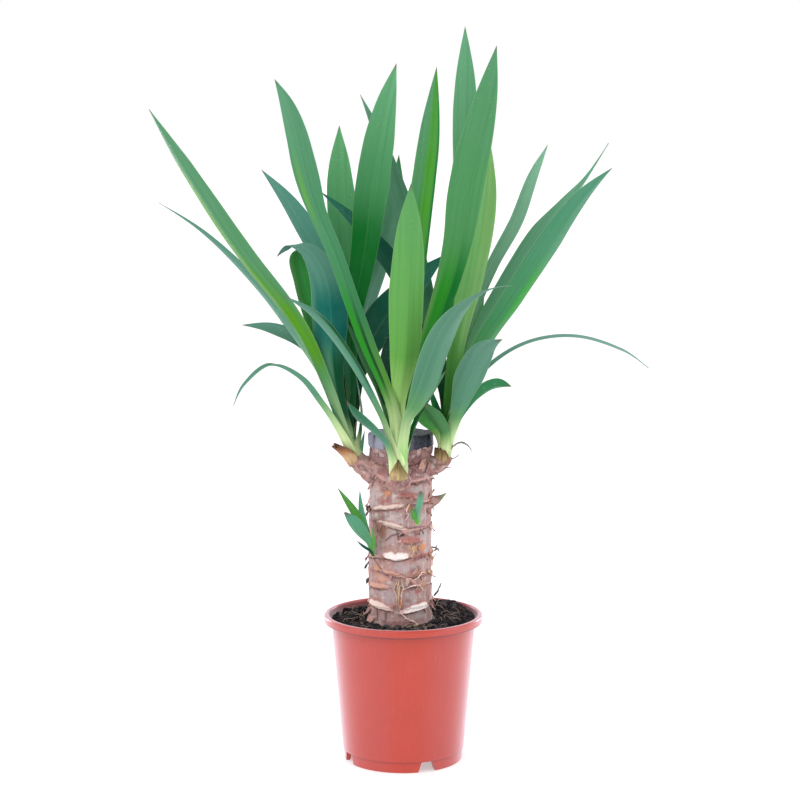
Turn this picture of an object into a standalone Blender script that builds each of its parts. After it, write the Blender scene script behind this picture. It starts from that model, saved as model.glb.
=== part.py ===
"""A yucca cane with three leafy heads, planted in a tapered plastic pot.

Sizes are in millimetres in this file and become metres where a mesh is made.
The origin is the middle of the pot's foot, +Z is up, and -Y is the front.
"""
import bmesh
import bpy
import numpy as np

MM = 0.001

# Driving dimensions
RIM_RADIUS = 70.0
RIM_BAND = 6.7
LIP_WIDTH = 4.5
POT_HEIGHT = 130.5
FOOT_RADIUS = 52.3
FOOT_HEIGHT = 9.0
WALL = 1.8
FLOOR_THICKNESS = 2.5
SOIL_LEVEL = 125.0
CANE_X = -2.5
CANE_RADIUS = 27.8
CANE_FOOT = 40.0
CANE_TOP = 282.0
WAX_HEIGHT = 10.2
BLADE_THICKNESS = 1.7
GAP = 0.3

# Derived sizes
FLOOR_TOP = FOOT_HEIGHT + FLOOR_THICKNESS
RIM_BOTTOM = POT_HEIGHT - RIM_BAND
SHOULDER = RIM_BOTTOM - 2.0
WALL_TOP_RADIUS = RIM_RADIUS - 6.6
WALL_FOOT_RADIUS = FOOT_RADIUS + 1.4

# Heights of the leaf scars that ring the cane, at its right, back, left and front
SCARS = [
    (141, 138, 141, 142),
    (146, 152, 154, 161),
    (166, 166, 173, 172),
    (187, 184, 180, 188),
    (219, 211, 216, 213),
    (234, 229, 223, 231),
    (250, 252, 253, 249),
    (269, 266, 268, 266),
]

# A head stands on its stub: the middle of its base, the way it leans and its radius there
HEADS = {
    "left": {"base": (-41.5, -6, 270.7), "lean": (-0.35, 0.0, 1.0), "radius": 7.4},
    "front": {"base": (-4, -38, 261.4), "lean": (0.0, -0.10, 1.0), "radius": 8.8},
    "right": {"base": (35, -7, 272.2), "lean": (0.17, 0.0, 1.0), "radius": 7.2},
}

# The stub under each head: the middle line out of the cane, with a radius at each point
STUBS = {
    "left": [(-14, -4, 258, 14), (-27, -5, 262.5, 12.4), (-35.5, -6, 264.5, 7.8)],
    "front": [(-4, -14, 240, 13), (-4, -27, 247, 12), (-4, -35, 253.5, 10.4)],
    "right": [(14, -5, 263, 9), (25, -6, 264.5, 6.6), (32.5, -7, 266.3, 5.8)],
}

# Each leaf: azimuth where it leaves its head, twist of the blade half way and at the tip,
# rank from 0 for the outermost to 1 for the innermost, then its course as
# (x, y, z, width), from above the sheath to the tip.
LEAVES = {
    "left": [
        (-150, (15, 15), 0.35,
         [(-65, -14, 329, 20), (-92, -16, 388, 24), (-140, -15, 452, 27), (-185, -8, 519, 20),
          (-219, 0, 573, 0)]),
        (-172, (30, 60), 0.30,
         [(-62, -4, 324, 18), (-87, 1, 368, 24), (-126, 8, 419, 13), (-172, 17, 464, 5), (-215, 24, 492, 0)]),
        (165, (-60, -60), 0.10,
         [(-58, 4, 314, 12), (-70, 9, 338, 13), (-89, 15, 364, 15), (-117, 21, 379, 10), (-143, 26, 384, 0)]),
        (-140, (0, 0), 0.00,
         [(-59, -16, 300, 13), (-72, -20, 321, 12), (-90, -25, 344, 12), (-114, -29, 355, 9),
          (-136, -33, 339, 5),
          (-146, -36, 320, 0)]),
        (140, (-10, 0), 0.50,
         [(-55, 10, 317, 16), (-67, 17, 346, 20), (-78, 26, 385, 24), (-88, 34, 424, 21), (-97, 40, 455, 0)]),
        (-70, (-10, -10), 0.40,
         [(-54, -14, 311, 14), (-60, -15, 337, 17), (-63, -15, 365, 25), (-63, -16, 397, 30),
          (-68, -15, 428, 25), (-83, -12, 450, 12), (-99, -10, 452, 7), (-109, -10, 442, 0)]),
        (170, (-30, -30), 0.55,
         [(-49, 0, 327, 18), (-53, 4, 374, 24), (-67, 9, 432, 31), (-95, 13, 484, 24), (-124, 16, 521, 0)]),
        (30, (50, 40), 0.50,
         [(-38, 6, 311, 17), (-31, 13, 345, 26), (-17, 22, 386, 35), (9, 30, 419, 24), (38, 36, 446, 0)]),
        (60, (15, 15), 0.75,
         [(-44, 23, 324, 14), (-41, 42, 371, 15), (-24, 60, 427, 18), (-8, 68, 485, 19), (-4, 74, 533, 0)]),
        (100, (0, 0), 0.85,
         [(-48, 20, 327, 14), (-49, 35, 378, 18), (-53, 55, 442, 24), (-57, 78, 507, 25), (-58, 96, 559, 0)]),
        (80, (5, 5), 0.90,
         [(-47, 5, 328, 15), (-46, 8, 381, 16), (-35, 11, 444, 24), (-27, 13, 506, 31), (-17, 13, 567, 22),
          (-6, 14, 612, 0)]),
        (120, (0, 0), 0.20,
         [(-52, 28, 317, 16), (-62, 66, 373, 24), (-74, 96, 427, 20), (-82, 112, 467, 0)]),
        (150, (0, 0), 0.15,
         [(-60, 22, 309, 15), (-76, 54, 345, 20), (-88, 84, 363, 15), (-98, 108, 363, 0)]),
    ],
    "front": [
        (-160, (30, 30), 0.00,
         [(-14, -57, 288, 12), (-24, -65, 302, 13), (-37, -72, 315, 12), (-48, -78, 330, 0)]),
        (-150, (20, 20), 0.20,
         [(-15, -60, 303, 10), (-28, -68, 334, 9), (-48, -78, 370, 12), (-73, -86, 402, 12),
          (-99, -92, 419, 0)]),
        (160, (-20, -20), 0.30,
         [(-12, -38, 304, 15), (-22, -33, 332, 16), (-36, -26, 361, 14), (-49, -20, 391, 0)]),
        (-50, (-15, 10), 0.35,
         [(6, -60, 310, 17), (14, -70, 339, 26), (27, -81, 372, 33), (43, -90, 402, 28), (68, -100, 424, 7),
          (92, -112, 429, 0)]),
        (-120, (10, 10), 0.55,
         [(-8, -52, 327, 16), (-28, -56, 378, 17), (-57, -61, 434, 23), (-77, -60, 493, 26),
          (-90, -56, 553, 20), (-107, -54, 596, 0)]),
        (-80, (0, 0), 0.70,
         [(-4, -59, 328, 13), (1, -66, 369, 27), (3, -73, 421, 31), (5, -76, 471, 23), (6, -78, 511, 0)]),
        (95, (0, 0), 0.85,
         [(6, -44, 331, 15), (24, -41, 385, 18), (43, -37, 448, 25), (54, -31, 513, 32), (69, -23, 578, 21),
          (79, -18, 626, 0)]),
        (75, (0, 0), 0.95,
         [(-1, -41, 339, 14), (7, -38, 399, 16), (13, -35, 474, 22), (22, -29, 548, 19), (28, -24, 608, 0)]),
    ],
    "right": [
        (20, (-40, -40), 0.05,
         [(48, 5, 299, 13), (55, 10, 311, 15), (67, 17, 324, 19), (82, 23, 333, 15), (96, 28, 330, 0)]),
        (-110, (0, 20), 0.05,
         [(36, -19, 290, 11), (32, -26, 302, 13), (25, -32, 313, 12), (16, -38, 322, 0)]),
        (15, (20, 20), 0.10,
         [(56, 18, 317, 10), (75, 30, 346, 7), (111, 42, 367, 6), (153, 46, 372, 7), (195, 44, 360, 7),
          (219, 40, 344, 0)]),
        (-140, (0, 0), 0.15,
         [(29, -15, 293, 12), (20, -18, 303, 13), (4, -20, 313, 0)]),
        (-80, (0, 0), 0.25,
         [(45, -23, 307, 12), (50, -30, 325, 19), (58, -37, 348, 28), (69, -44, 369, 21), (84, -50, 379, 0)]),
        (150, (0, 0), 0.30,
         [(33, -5, 300, 12), (27, -4, 316, 12), (21, -6, 339, 0)]),
        (-60, (5, 5), 0.50,
         [(52, -7, 324, 16), (67, -9, 366, 21), (95, -11, 410, 27), (123, -13, 454, 29), (152, -13, 496, 19),
          (179, -14, 523, 0)]),
        (-10, (-30, -30), 0.60,
         [(48, 10, 324, 18), (64, 14, 369, 26), (92, 19, 416, 34), (121, 21, 462, 36), (143, 21, 492, 18),
          (160, 21, 514, 6), (179, 22, 544, 0)]),
        (25, (35, 35), 0.55,
         [(45, 18, 334, 13), (58, 31, 382, 12), (84, 46, 434, 14), (107, 55, 474, 16), (117, 60, 512, 12),
          (129, 66, 542, 0)]),
        (150, (-30, -30), 0.60,
         [(35, 14, 317, 14), (24, 30, 363, 18), (1, 45, 419, 24), (-37, 44, 468, 16), (-74, 46, 501, 0)]),
        (120, (-10, -10), 0.75,
         [(36, 10, 318, 13), (28, 24, 368, 17), (14, 44, 427, 21), (-1, 46, 486, 20), (-20, 40, 544, 11),
          (-38, 34, 586, 0)]),
        (60, (15, 15), 0.80,
         [(42, 3, 327, 14), (48, 4, 376, 18), (61, 6, 436, 25), (70, 8, 497, 24), (73, 10, 554, 0)]),
        (95, (0, 0), 0.95,
         [(43, 12, 329, 14), (48, 19, 388, 17), (53, 28, 456, 21), (54, 34, 525, 23), (54, 40, 594, 19),
          (54, 44, 645, 0)]),
        (75, (0, 0), 0.20,
         [(46, 26, 315, 15), (58, 66, 371, 24), (66, 96, 423, 20), (72, 112, 465, 0)]),
    ],
}

# Two small shoots: where each leaves the cane, the way it leans, how far its core stands
# out from there, then leaves as above
SHOOTS = {
    "left": {
        "base": (-24.5, -18, 185), "lean": (-0.35, -0.45, 0.9), "seat": 1.4,
        "leaves": [
            (-150, (30, 30), 0.1, [(-29, -25, 191, 4), (-35, -28, 196, 4), (-41, -31, 202, 0)]),
            (-130, (10, 10), 0.3, [(-29, -27, 197, 9), (-37, -32, 209, 16), (-44, -36, 220, 15),
                                   (-51, -38, 228, 2)]),
            (160, (-20, -20), 0.5, [(-33, -22, 205, 7), (-40, -27, 221, 11), (-48, -29, 234, 8),
                                    (-57, -30, 248, 0)]),
            (60, (0, 0), 0.8, [(-30, -20, 203, 5), (-35, -17, 219, 7), (-37, -17, 230, 5),
                               (-38, -17, 244, 0)]),
            (-20, (0, 0), 0.6, [(-25, -28, 198, 5), (-26, -31, 207, 5), (-26, -33, 217, 0)]),
        ],
    },
    "right": {
        "base": (11.5, -26, 214), "lean": (0.05, -0.50, 0.9), "seat": 2.0,
        "leaves": [
            (-70, (0, 0), 0.4, [(11.5, -32, 223, 7), (14, -35, 234, 7), (15, -36, 241, 6),
                                (15, -36, 246, 2)]),
            (-150, (20, 20), 0.3, [(9, -32, 221, 5), (8, -35, 227, 5), (7, -36, 233, 0)]),
        ],
    },
}

# Dry scales round the heads' bases: the way each faces, half its turn round the head,
# where it starts and ends along the axis, how far its end flares and how pointed it is
DRY_SCALES = {
    "left": {"azimuth": 180, "half_turn": 62, "low": -3.0, "high": 16.0, "flare": 6.5, "point": 0.45},
    "front": {"azimuth": -90, "half_turn": 60, "low": -1.5, "high": 13.0, "flare": 0.4, "point": 1.0},
    "right": {"azimuth": -114, "half_turn": 44, "low": -7.0, "high": 9.0, "flare": 0.8, "point": 0.30},
}


def clear_scene():
    for thing in list(bpy.data.objects):
        bpy.data.objects.remove(thing, do_unlink=True)


def make_material(name, colour, roughness):
    """A plain surface with the colour and gloss of the piece."""
    material = bpy.data.materials.new(name)
    material.use_nodes = True
    surface = material.node_tree.nodes["Principled BSDF"]
    surface.inputs["Base Color"].default_value = (*colour, 1.0)
    surface.inputs["Roughness"].default_value = roughness
    surface.inputs["Metallic"].default_value = 0.0
    return material


def make_object(name, points, faces, material=None):
    """A mesh object from points in millimetres."""
    mesh = bpy.data.meshes.new(name)
    mesh.from_pydata((np.asarray(points, float) * MM).tolist(), [], faces)
    body = bmesh.new()
    body.from_mesh(mesh)
    bmesh.ops.remove_doubles(body, verts=body.verts, dist=0.00001)
    bmesh.ops.recalc_face_normals(body, faces=body.faces)
    if body.calc_volume(signed=True) < 0:
        bmesh.ops.reverse_faces(body, faces=body.faces)
    body.to_mesh(mesh)
    body.free()
    thing = bpy.data.objects.new(name, mesh)
    bpy.context.scene.collection.objects.link(thing)
    if material is not None:
        mesh.materials.append(material)
    return thing


def loft_faces(rows, columns, last_cap=True):
    """Quads between closed loops of equal count, with flat caps on the first and last."""
    faces = []
    for row in range(rows - 1):
        for column in range(columns):
            after = (column + 1) % columns
            a = row * columns
            faces.append((a + column, a + after, a + columns + after, a + columns + column))
    faces.append(tuple(range(columns))[::-1])
    if last_cap:
        faces.append(tuple(range((rows - 1) * columns, rows * columns)))
    return faces


def unit(vectors):
    vectors = np.asarray(vectors, float)
    return vectors / np.linalg.norm(vectors, axis=-1, keepdims=True)


def smooth_course(points, first_direction, stations):
    """A cubic through points of (x, y, z, width), read at shares of its length."""
    knots = np.asarray(points, float)
    gaps = np.linalg.norm(np.diff(knots[:, :3], axis=0), axis=1)
    slopes = np.empty_like(knots)
    slopes[1:-1] = (knots[2:] - knots[:-2]) / (gaps[1:] + gaps[:-1])[:, None]
    slopes[0] = np.append(first_direction, 0.0)
    slopes[-1] = 1.5 * (knots[-1] - knots[-2]) / gaps[-1] - 0.5 * slopes[-2]
    u = np.linspace(0, 1, 25)[:, None, None]
    gap = gaps[None, :, None]
    dense = (
        (2 * u**3 - 3 * u**2 + 1) * knots[None, :-1]
        + (u**3 - 2 * u**2 + u) * gap * slopes[None, :-1]
        + (3 * u**2 - 2 * u**3) * knots[None, 1:]
        + (u**3 - u**2) * gap * slopes[None, 1:]
    )
    dense = dense.transpose(1, 0, 2).reshape(-1, 4)
    run = np.append(0.0, np.cumsum(np.linalg.norm(np.diff(dense[:, :3], axis=0), axis=1)))

    def read(shares):
        return np.stack([np.interp(shares * run[-1], run, dense[:, k]) for k in range(4)], -1)

    here = read(stations)
    ahead = read(np.clip(stations + 0.012, 0, 1))
    behind = read(np.clip(stations - 0.012, 0, 1))
    return here[:, :3], unit(ahead[:, :3] - behind[:, :3]), here[:, 3], knots[-1, :3]


def blade(name, head, leaf, stations, root):
    """One leaf as a closed shallow channel: three points above, three below, closed at a tip.

    It leaves the head's axis at its azimuth and rank, follows its course, and its
    edges lift towards the inner face by a fold that is deep at the sheath.
    """
    azimuth, twist, rank, course = leaf
    angle = np.radians(azimuth)
    out = np.array([np.cos(angle), np.sin(angle), 0.0])
    axis = unit(head["lean"])
    start = np.array(head["base"], float)
    start += axis * (root["low"] + root["climb"] * rank)
    start += out * head["radius"] * (root["spread"] - root["narrowing"] * rank)
    knots = [np.append(start, root["width"]), *course]
    centre, along, width, tip = smooth_course(knots, axis, stations)
    across = np.array([-out[1], out[0], 0.0])
    across = unit(across - (along @ across)[:, None] * along)
    inward = np.cross(along, across)
    turn = np.radians(np.interp(stations, [0, 0.1, 0.4, 1.0], [0, 0, *twist]))[:, None]
    side = across * np.cos(turn) + inward * np.sin(turn)
    face = inward * np.cos(turn) - across * np.sin(turn)
    fold = np.radians(14 + 12 * (1 - stations) + 34 * np.exp(-((stations / 0.13) ** 2)))[:, None]
    least_width, edge_half = 0.9, 0.32
    half = np.maximum(width, least_width)[:, None] / 2
    lift = half * np.sin(fold)
    spread = half * np.cos(fold)
    rib = centre - face * lift / 2
    rib_half = root["thickness"] * (0.60 - 0.27 * stations)[:, None]
    loops = np.stack([
        rib + side * spread + face * (lift + edge_half),
        rib + face * rib_half,
        rib - side * spread + face * (lift + edge_half),
        rib - side * spread + face * (lift - edge_half),
        rib - face * rib_half,
        rib + side * spread + face * (lift - edge_half),
    ], 1)
    points = np.vstack([loops.reshape(-1, 3), tip])
    faces = loft_faces(len(stations), 6, last_cap=False)
    last = (len(stations) - 1) * 6
    faces += [(last + k, last + (k + 1) % 6, len(points) - 1) for k in range(6)]
    return make_object(name, points, split_faces(faces))


def split_faces(faces):
    """Fans of triangles over the faces, so both sides of a blade split alike."""
    return [(face[0], face[k], face[k + 1]) for face in faces for k in range(1, len(face) - 1)]


def tube(name, points, radii, sides):
    """A solid of round section along a path, with flat ends square to it."""
    path = np.asarray(points, float)
    along = unit(np.gradient(path, axis=0))
    helper = np.array([0.0, 1.0, 0.0]) if abs(along[0][1]) < 0.7 else np.array([1.0, 0.0, 0.0])
    first = unit(np.cross(along, helper))
    second = np.cross(along, first)
    turn = np.linspace(0, 2 * np.pi, sides, endpoint=False)
    radii = np.asarray(radii, float)[:, None, None]
    ring = first[:, None] * np.cos(turn)[None, :, None] + second[:, None] * np.sin(turn)[None, :, None]
    loops = path[:, None] + ring * radii
    return make_object(name, loops.reshape(-1, 3), loft_faces(len(path), sides))


def join_by_union(name, pieces, material, solver="EXACT"):
    """The first piece with the others joined in one Boolean union, as one object."""
    group = bpy.data.collections.new(name + "_repeats")
    bpy.context.scene.collection.children.link(group)
    main = pieces[0]
    for piece in pieces[1:]:
        bpy.context.scene.collection.objects.unlink(piece)
        group.objects.link(piece)
    union = main.modifiers.new("union", "BOOLEAN")
    union.operation = "UNION"
    union.operand_type = "COLLECTION"
    union.collection = group
    union.solver = solver
    joined = bpy.data.meshes.new_from_object(main.evaluated_get(bpy.context.evaluated_depsgraph_get()))
    main.modifiers.clear()
    main.data = joined
    main.name = name
    joined.name = name
    keep_outer_shell(joined)
    joined.materials.clear()
    joined.materials.append(material)
    for piece in list(group.objects):
        bpy.data.objects.remove(piece, do_unlink=True)
    bpy.data.collections.remove(group)
    return main


def keep_outer_shell(mesh):
    """Leaves only the largest connected skin, which fills any hollow that a union sealed."""
    body = bmesh.new()
    body.from_mesh(mesh)
    body.faces.ensure_lookup_table()
    unseen = set(body.faces)
    shells = []
    while unseen:
        shell = {unseen.pop()}
        front = list(shell)
        while front:
            face = front.pop()
            for edge in face.edges:
                for near in edge.link_faces:
                    if near in unseen:
                        unseen.discard(near)
                        shell.add(near)
                        front.append(near)
        shells.append(shell)
    largest = max(shells, key=lambda shell: sum(face.calc_area() for face in shell))
    spare = [face for shell in shells if shell is not largest for face in shell]
    bmesh.ops.delete(body, geom=spare, context="FACES")
    body.to_mesh(mesh)
    body.free()


def wall_outer(z):
    """Outer radius of the pot's tapered wall at a height."""
    share = (z - FOOT_HEIGHT) / (RIM_BOTTOM - FOOT_HEIGHT)
    return WALL_FOOT_RADIUS + (WALL_TOP_RADIUS - WALL_FOOT_RADIUS) * share


def wall_inner(z):
    """Inner radius of the pot at a height, up to the lip."""
    corner = FLOOR_TOP + 2.5
    profile = [
        (FLOOR_TOP, wall_outer(FLOOR_TOP) - WALL - 2.0),
        (corner, wall_outer(corner) - WALL),
        (SHOULDER, wall_outer(SHOULDER) - WALL),
        (SHOULDER + 4.0, RIM_RADIUS - LIP_WIDTH - 0.9),
        (POT_HEIGHT - 1.6, RIM_RADIUS - LIP_WIDTH),
    ]
    heights, radii = zip(*profile)
    return np.interp(z, heights, radii)


def make_pot():
    """A turned wall with a band at the rim and a raised floor inside its foot ring."""
    ring_inner = FOOT_RADIUS - 3.8
    middle = POT_HEIGHT / 2
    inside = [POT_HEIGHT - 1.6, SHOULDER + 4.0, SHOULDER, middle, FLOOR_TOP + 2.5, FLOOR_TOP]
    profile = [
        (ring_inner - 0.4, FOOT_HEIGHT), (ring_inner, 0), (FOOT_RADIUS, 0),
        (FOOT_RADIUS + 0.4, FOOT_HEIGHT), (WALL_FOOT_RADIUS, FOOT_HEIGHT + 0.8),
        (wall_outer(middle), middle), (WALL_TOP_RADIUS, RIM_BOTTOM),
        (RIM_RADIUS - 0.9, RIM_BOTTOM), (RIM_RADIUS, RIM_BOTTOM + 0.9),
        (RIM_RADIUS, POT_HEIGHT - 1.9), (RIM_RADIUS - 0.7, POT_HEIGHT - 0.6),
        (RIM_RADIUS - 2.2, POT_HEIGHT), (RIM_RADIUS - 3.7, POT_HEIGHT - 0.5),
        *[(float(wall_inner(z)), z) for z in inside],
    ]
    sides = 48
    turn = np.linspace(0, 2 * np.pi, sides, endpoint=False)
    loops = [[(r * np.cos(a), r * np.sin(a), z) for a in turn] for r, z in profile]
    points = np.array(loops).reshape(-1, 3)
    material = make_material("pot_plastic", (0.60, 0.16, 0.12), 0.45)
    pot = make_object("pot", points, loft_faces(len(loops), sides), material)
    cut_foot_notches(pot)
    cut_floor_holes(pot)
    shade_round(pot, 35)
    return pot


def cut_foot_notches(pot):
    """Tapered notches through the foot ring, a quarter turn apart."""
    count, first_azimuth = 4, -66.5
    half_low, half_high, top = 8.4, 5.4, FOOT_HEIGHT + 0.9
    section = [(-half_low - 0.4, -1.0), (half_low + 0.4, -1.0), (half_high, top), (-half_high, top)]
    inner, outer = FOOT_RADIUS - 7.0, FOOT_RADIUS + 5.0
    points = [(radius, y, z) for radius in (inner, outer) for y, z in section]
    for index in range(count):
        cutter = make_object("notch_%d" % index, points, loft_faces(2, len(section)))
        cutter.rotation_euler.z = np.radians(first_azimuth + 360.0 / count * index)
        subtract(pot, cutter)


def cut_floor_holes(pot):
    """Round drain holes through the floor, in a ring."""
    count, ring, radius, sides = 6, 33.0, 4.0, 16
    for index in range(count):
        angle = 2 * np.pi * (index + 0.5) / count
        x, y = ring * np.cos(angle), ring * np.sin(angle)
        ends = [(x, y, FOOT_HEIGHT - 2), (x, y, FLOOR_TOP + 2)]
        subtract(pot, tube("drain_%d" % index, ends, [radius, radius], sides))


def subtract(body, cutter):
    """Cuts one closed solid from another and removes the cutter."""
    cutter.hide_render = True
    cutter.display_type = "WIRE"
    bpy.context.view_layer.update()
    cut = body.modifiers.new("cut", "BOOLEAN")
    cut.operation = "DIFFERENCE"
    cut.object = cutter
    cut.solver = "EXACT"
    result = bpy.data.meshes.new_from_object(body.evaluated_get(bpy.context.evaluated_depsgraph_get()))
    body.modifiers.clear()
    body.data = result
    bpy.data.objects.remove(cutter, do_unlink=True)


def shade_round(thing, degrees):
    thing.data.shade_smooth()
    thing.data.set_sharp_from_angle(angle=np.radians(degrees))


def soil_height(x, y):
    """Soil surface: near level, heaped at the back right, with soft lumps."""
    heap = 5.6 * np.exp(-((x - 40) ** 2 + (y - 40) ** 2) / 700)
    lumps = 0.8 * np.sin(x / 6.3 + 1.1) * np.cos(y / 5.1) + 0.5 * np.sin((x + 2 * y) / 9.7)
    return SOIL_LEVEL + heap + lumps


def make_soil():
    """The filling: its side follows the pot's wall, and a plain hole takes the cane."""
    sides = 48
    turn = np.linspace(0, 2 * np.pi, sides, endpoint=False)
    hole = CANE_RADIUS + 0.55
    side_gap = 0.6
    highest_edge = POT_HEIGHT - 3.5

    def ring(radius, z, centre=0.0):
        z = np.broadcast_to(z, (sides,))
        return np.stack([centre + radius * np.cos(turn), radius * np.sin(turn), z], -1)

    inside = ring(hole, 0.0, CANE_X)
    outside = ring(wall_inner(SOIL_LEVEL) - side_gap, 0.0)
    loops = [ring(hole, CANE_FOOT - 0.4, CANE_X), ring(hole, SOIL_LEVEL - 4, CANE_X)]
    for share in np.linspace(0, 1, 7)[:-1]:
        level = inside * (1 - share) + outside * share
        level[:, 2] = soil_height(level[:, 0], level[:, 1])
        loops.append(level)
    edge = np.minimum(soil_height(outside[:, 0], outside[:, 1]), highest_edge)
    loops.append(ring(wall_inner(edge) - side_gap, edge))
    for z in (np.minimum(edge - 1.0, SHOULDER), SOIL_LEVEL / 2, FLOOR_TOP + 3.0, FLOOR_TOP + 0.4):
        loops.append(ring(wall_inner(z) - side_gap, z))
    material = make_material("soil_peat", (0.030, 0.020, 0.015), 0.95)
    faces = split_faces(loft_faces(len(loops), sides))
    soil = make_object("soil", np.concatenate(loops), faces, material)
    shade_round(soil, 60)
    return soil


def scar_line(turn, heights):
    """A smooth closed line round the cane through four heights: right, back, left, front."""
    right, back, left, front = heights
    mean = (right + back + left + front) / 4
    twice = (right + left - back - front) / 4
    once = (right - left) / 2 * np.cos(turn) + (back - front) / 2 * np.sin(turn)
    return mean + once + twice * np.cos(2 * turn)


def make_trunk():
    """The upright trunk: below each scar the torn base of an old leaf stands proud."""
    sides = 24
    turn = np.linspace(0, 2 * np.pi, sides, endpoint=False)
    lip, hollow, step = 1.7, -0.5, 0.9
    rows = [(np.full(sides, CANE_FOOT), 0.0), (np.full(sides, SOIL_LEVEL + 5), 0.0)]
    below = rows[-1][0]
    for heights in SCARS:
        scar = scar_line(turn, heights)
        for share, push in ((0.5, 0.0), (0.8, lip / 3), (1.0, lip)):
            rows.append((below + (scar - below) * share, push))
        below = scar + step
        rows.append((below, hollow))
    rows.append((np.full(sides, CANE_TOP), 0.0))
    loops = []
    for z, push in rows:
        swell = 0.5 * np.sin(z / 37 + turn) + 0.3 * np.sin(2 * turn + z / 23) - 0.3
        swell = swell * np.clip((z - SOIL_LEVEL - 5) / 10, 0, 1)
        radius = CANE_RADIUS + push + swell
        loops.append(np.stack([CANE_X + radius * np.cos(turn), radius * np.sin(turn), z], -1))
    return make_object("cane", np.concatenate(loops), loft_faces(len(loops), sides))


def make_cane():
    """The trunk with the stubs that carry the heads and a pointed bud on its right."""
    pieces = [make_trunk()]
    for side, line in STUBS.items():
        head = HEADS[side]
        base = np.array(head["base"], float)
        lean = unit(head["lean"])
        path = [point[:3] for point in line] + [tuple(base - lean * below) for below in (4.5, 1.5, GAP)]
        radii = [point[3] for point in line] + [head["radius"]] * 3
        pieces.append(tube("stub_" + side, path, radii, 16))
    bud = [(18, -5, 229), (25, -6, 232), (29, -6.5, 233.5), (33, -7.5, 236), (36.5, -8, 238.5)]
    pieces.append(tube("bud", bud, [6.0, 5.2, 3.6, 1.6, 0.4], 10))
    cane = join_by_union("cane", pieces, make_material("bark", (0.46, 0.33, 0.29), 0.8))
    shade_round(cane, 50)
    return cane


def make_wax_cap():
    """Dark wax that seals the cut top of the cane, with a rounded shoulder."""
    base = CANE_TOP + GAP
    top = base + WAX_HEIGHT
    sides = 32
    turn = np.linspace(0, 2 * np.pi, sides, endpoint=False)
    loops = []
    edge = CANE_RADIUS + 0.4
    profile = [
        (edge - 0.5, base), (edge, base + 3), (edge - 0.2, top - 3),
        (edge - 1.4, top - 0.8), (edge - 3.7, top),
    ]
    for radius, z in profile:
        wobble = radius + 0.35 * np.sin(3 * turn + z / 7)
        loops.append(np.stack([CANE_X + wobble * np.cos(turn), wobble * np.sin(turn), np.full(sides, z)], -1))
    material = make_material("sealing_wax", (0.045, 0.045, 0.055), 0.5)
    cap = make_object("wax_cap", np.concatenate(loops), loft_faces(len(loops), sides), material)
    shade_round(cap, 50)
    return cap


def make_head(side):
    """A leafy head: a short core with every leaf rooted in it, joined as one body."""
    head = HEADS[side]
    base = np.array(head["base"], float)
    axis = unit(head["lean"])
    core_shape = [(0, 1.0), (8, 0.95), (20, 0.78), (34, 0.42)]
    path = [base + axis * height for height, share in core_shape]
    core = tube("core_" + side, path, [head["radius"] * share for height, share in core_shape], 12)
    root = {"low": 3, "climb": 22, "spread": 0.70, "narrowing": 0.52, "width": 1.3 * head["radius"]}
    root["thickness"] = BLADE_THICKNESS
    stations = np.array([0, 0.06, 0.13, 0.22, 0.32, 0.43, 0.54, 0.65, 0.76, 0.86, 0.94, 0.985])
    leaves = [
        blade("%s_leaf_%02d" % (side, index), head, leaf, stations, root)
        for index, leaf in enumerate(LEAVES[side])
    ]
    colour = {"left": (0.16, 0.36, 0.17), "front": (0.22, 0.44, 0.18), "right": (0.17, 0.38, 0.18)}[side]
    material = make_material("leaves_" + side, colour, 0.5)
    whole = join_by_union("head_" + side, [core, *leaves], material, "MANIFOLD")
    shade_round(whole, 35)
    return whole


def make_shoot(side):
    """A young shoot on the cane, made like a head at a small size."""
    shoot = SHOOTS[side]
    axis = unit(shoot["lean"])
    outward = unit([shoot["base"][0] - CANE_X, shoot["base"][1], 0.0])
    start = np.array(shoot["base"], float) + outward * shoot["seat"]
    core = tube("shoot_core_" + side, [start, start + axis * 5, start + axis * 12], [3.0, 2.8, 1.4], 8)
    head = {"base": tuple(start), "lean": shoot["lean"], "radius": 2.0}
    root = {"low": 1.5, "climb": 6, "spread": 0.70, "narrowing": 0.40, "width": 4.0, "thickness": 1.3}
    stations = np.array([0, 0.15, 0.32, 0.5, 0.68, 0.84, 0.97])
    leaves = [
        blade("%s_shoot_leaf_%d" % (side, index), head, leaf, stations, root)
        for index, leaf in enumerate(shoot["leaves"])
    ]
    material = make_material("shoot_" + side, (0.20, 0.45, 0.20), 0.5)
    whole = join_by_union("shoot_" + side, [core, *leaves], material, "MANIFOLD")
    shade_round(whole, 35)
    return whole


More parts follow.
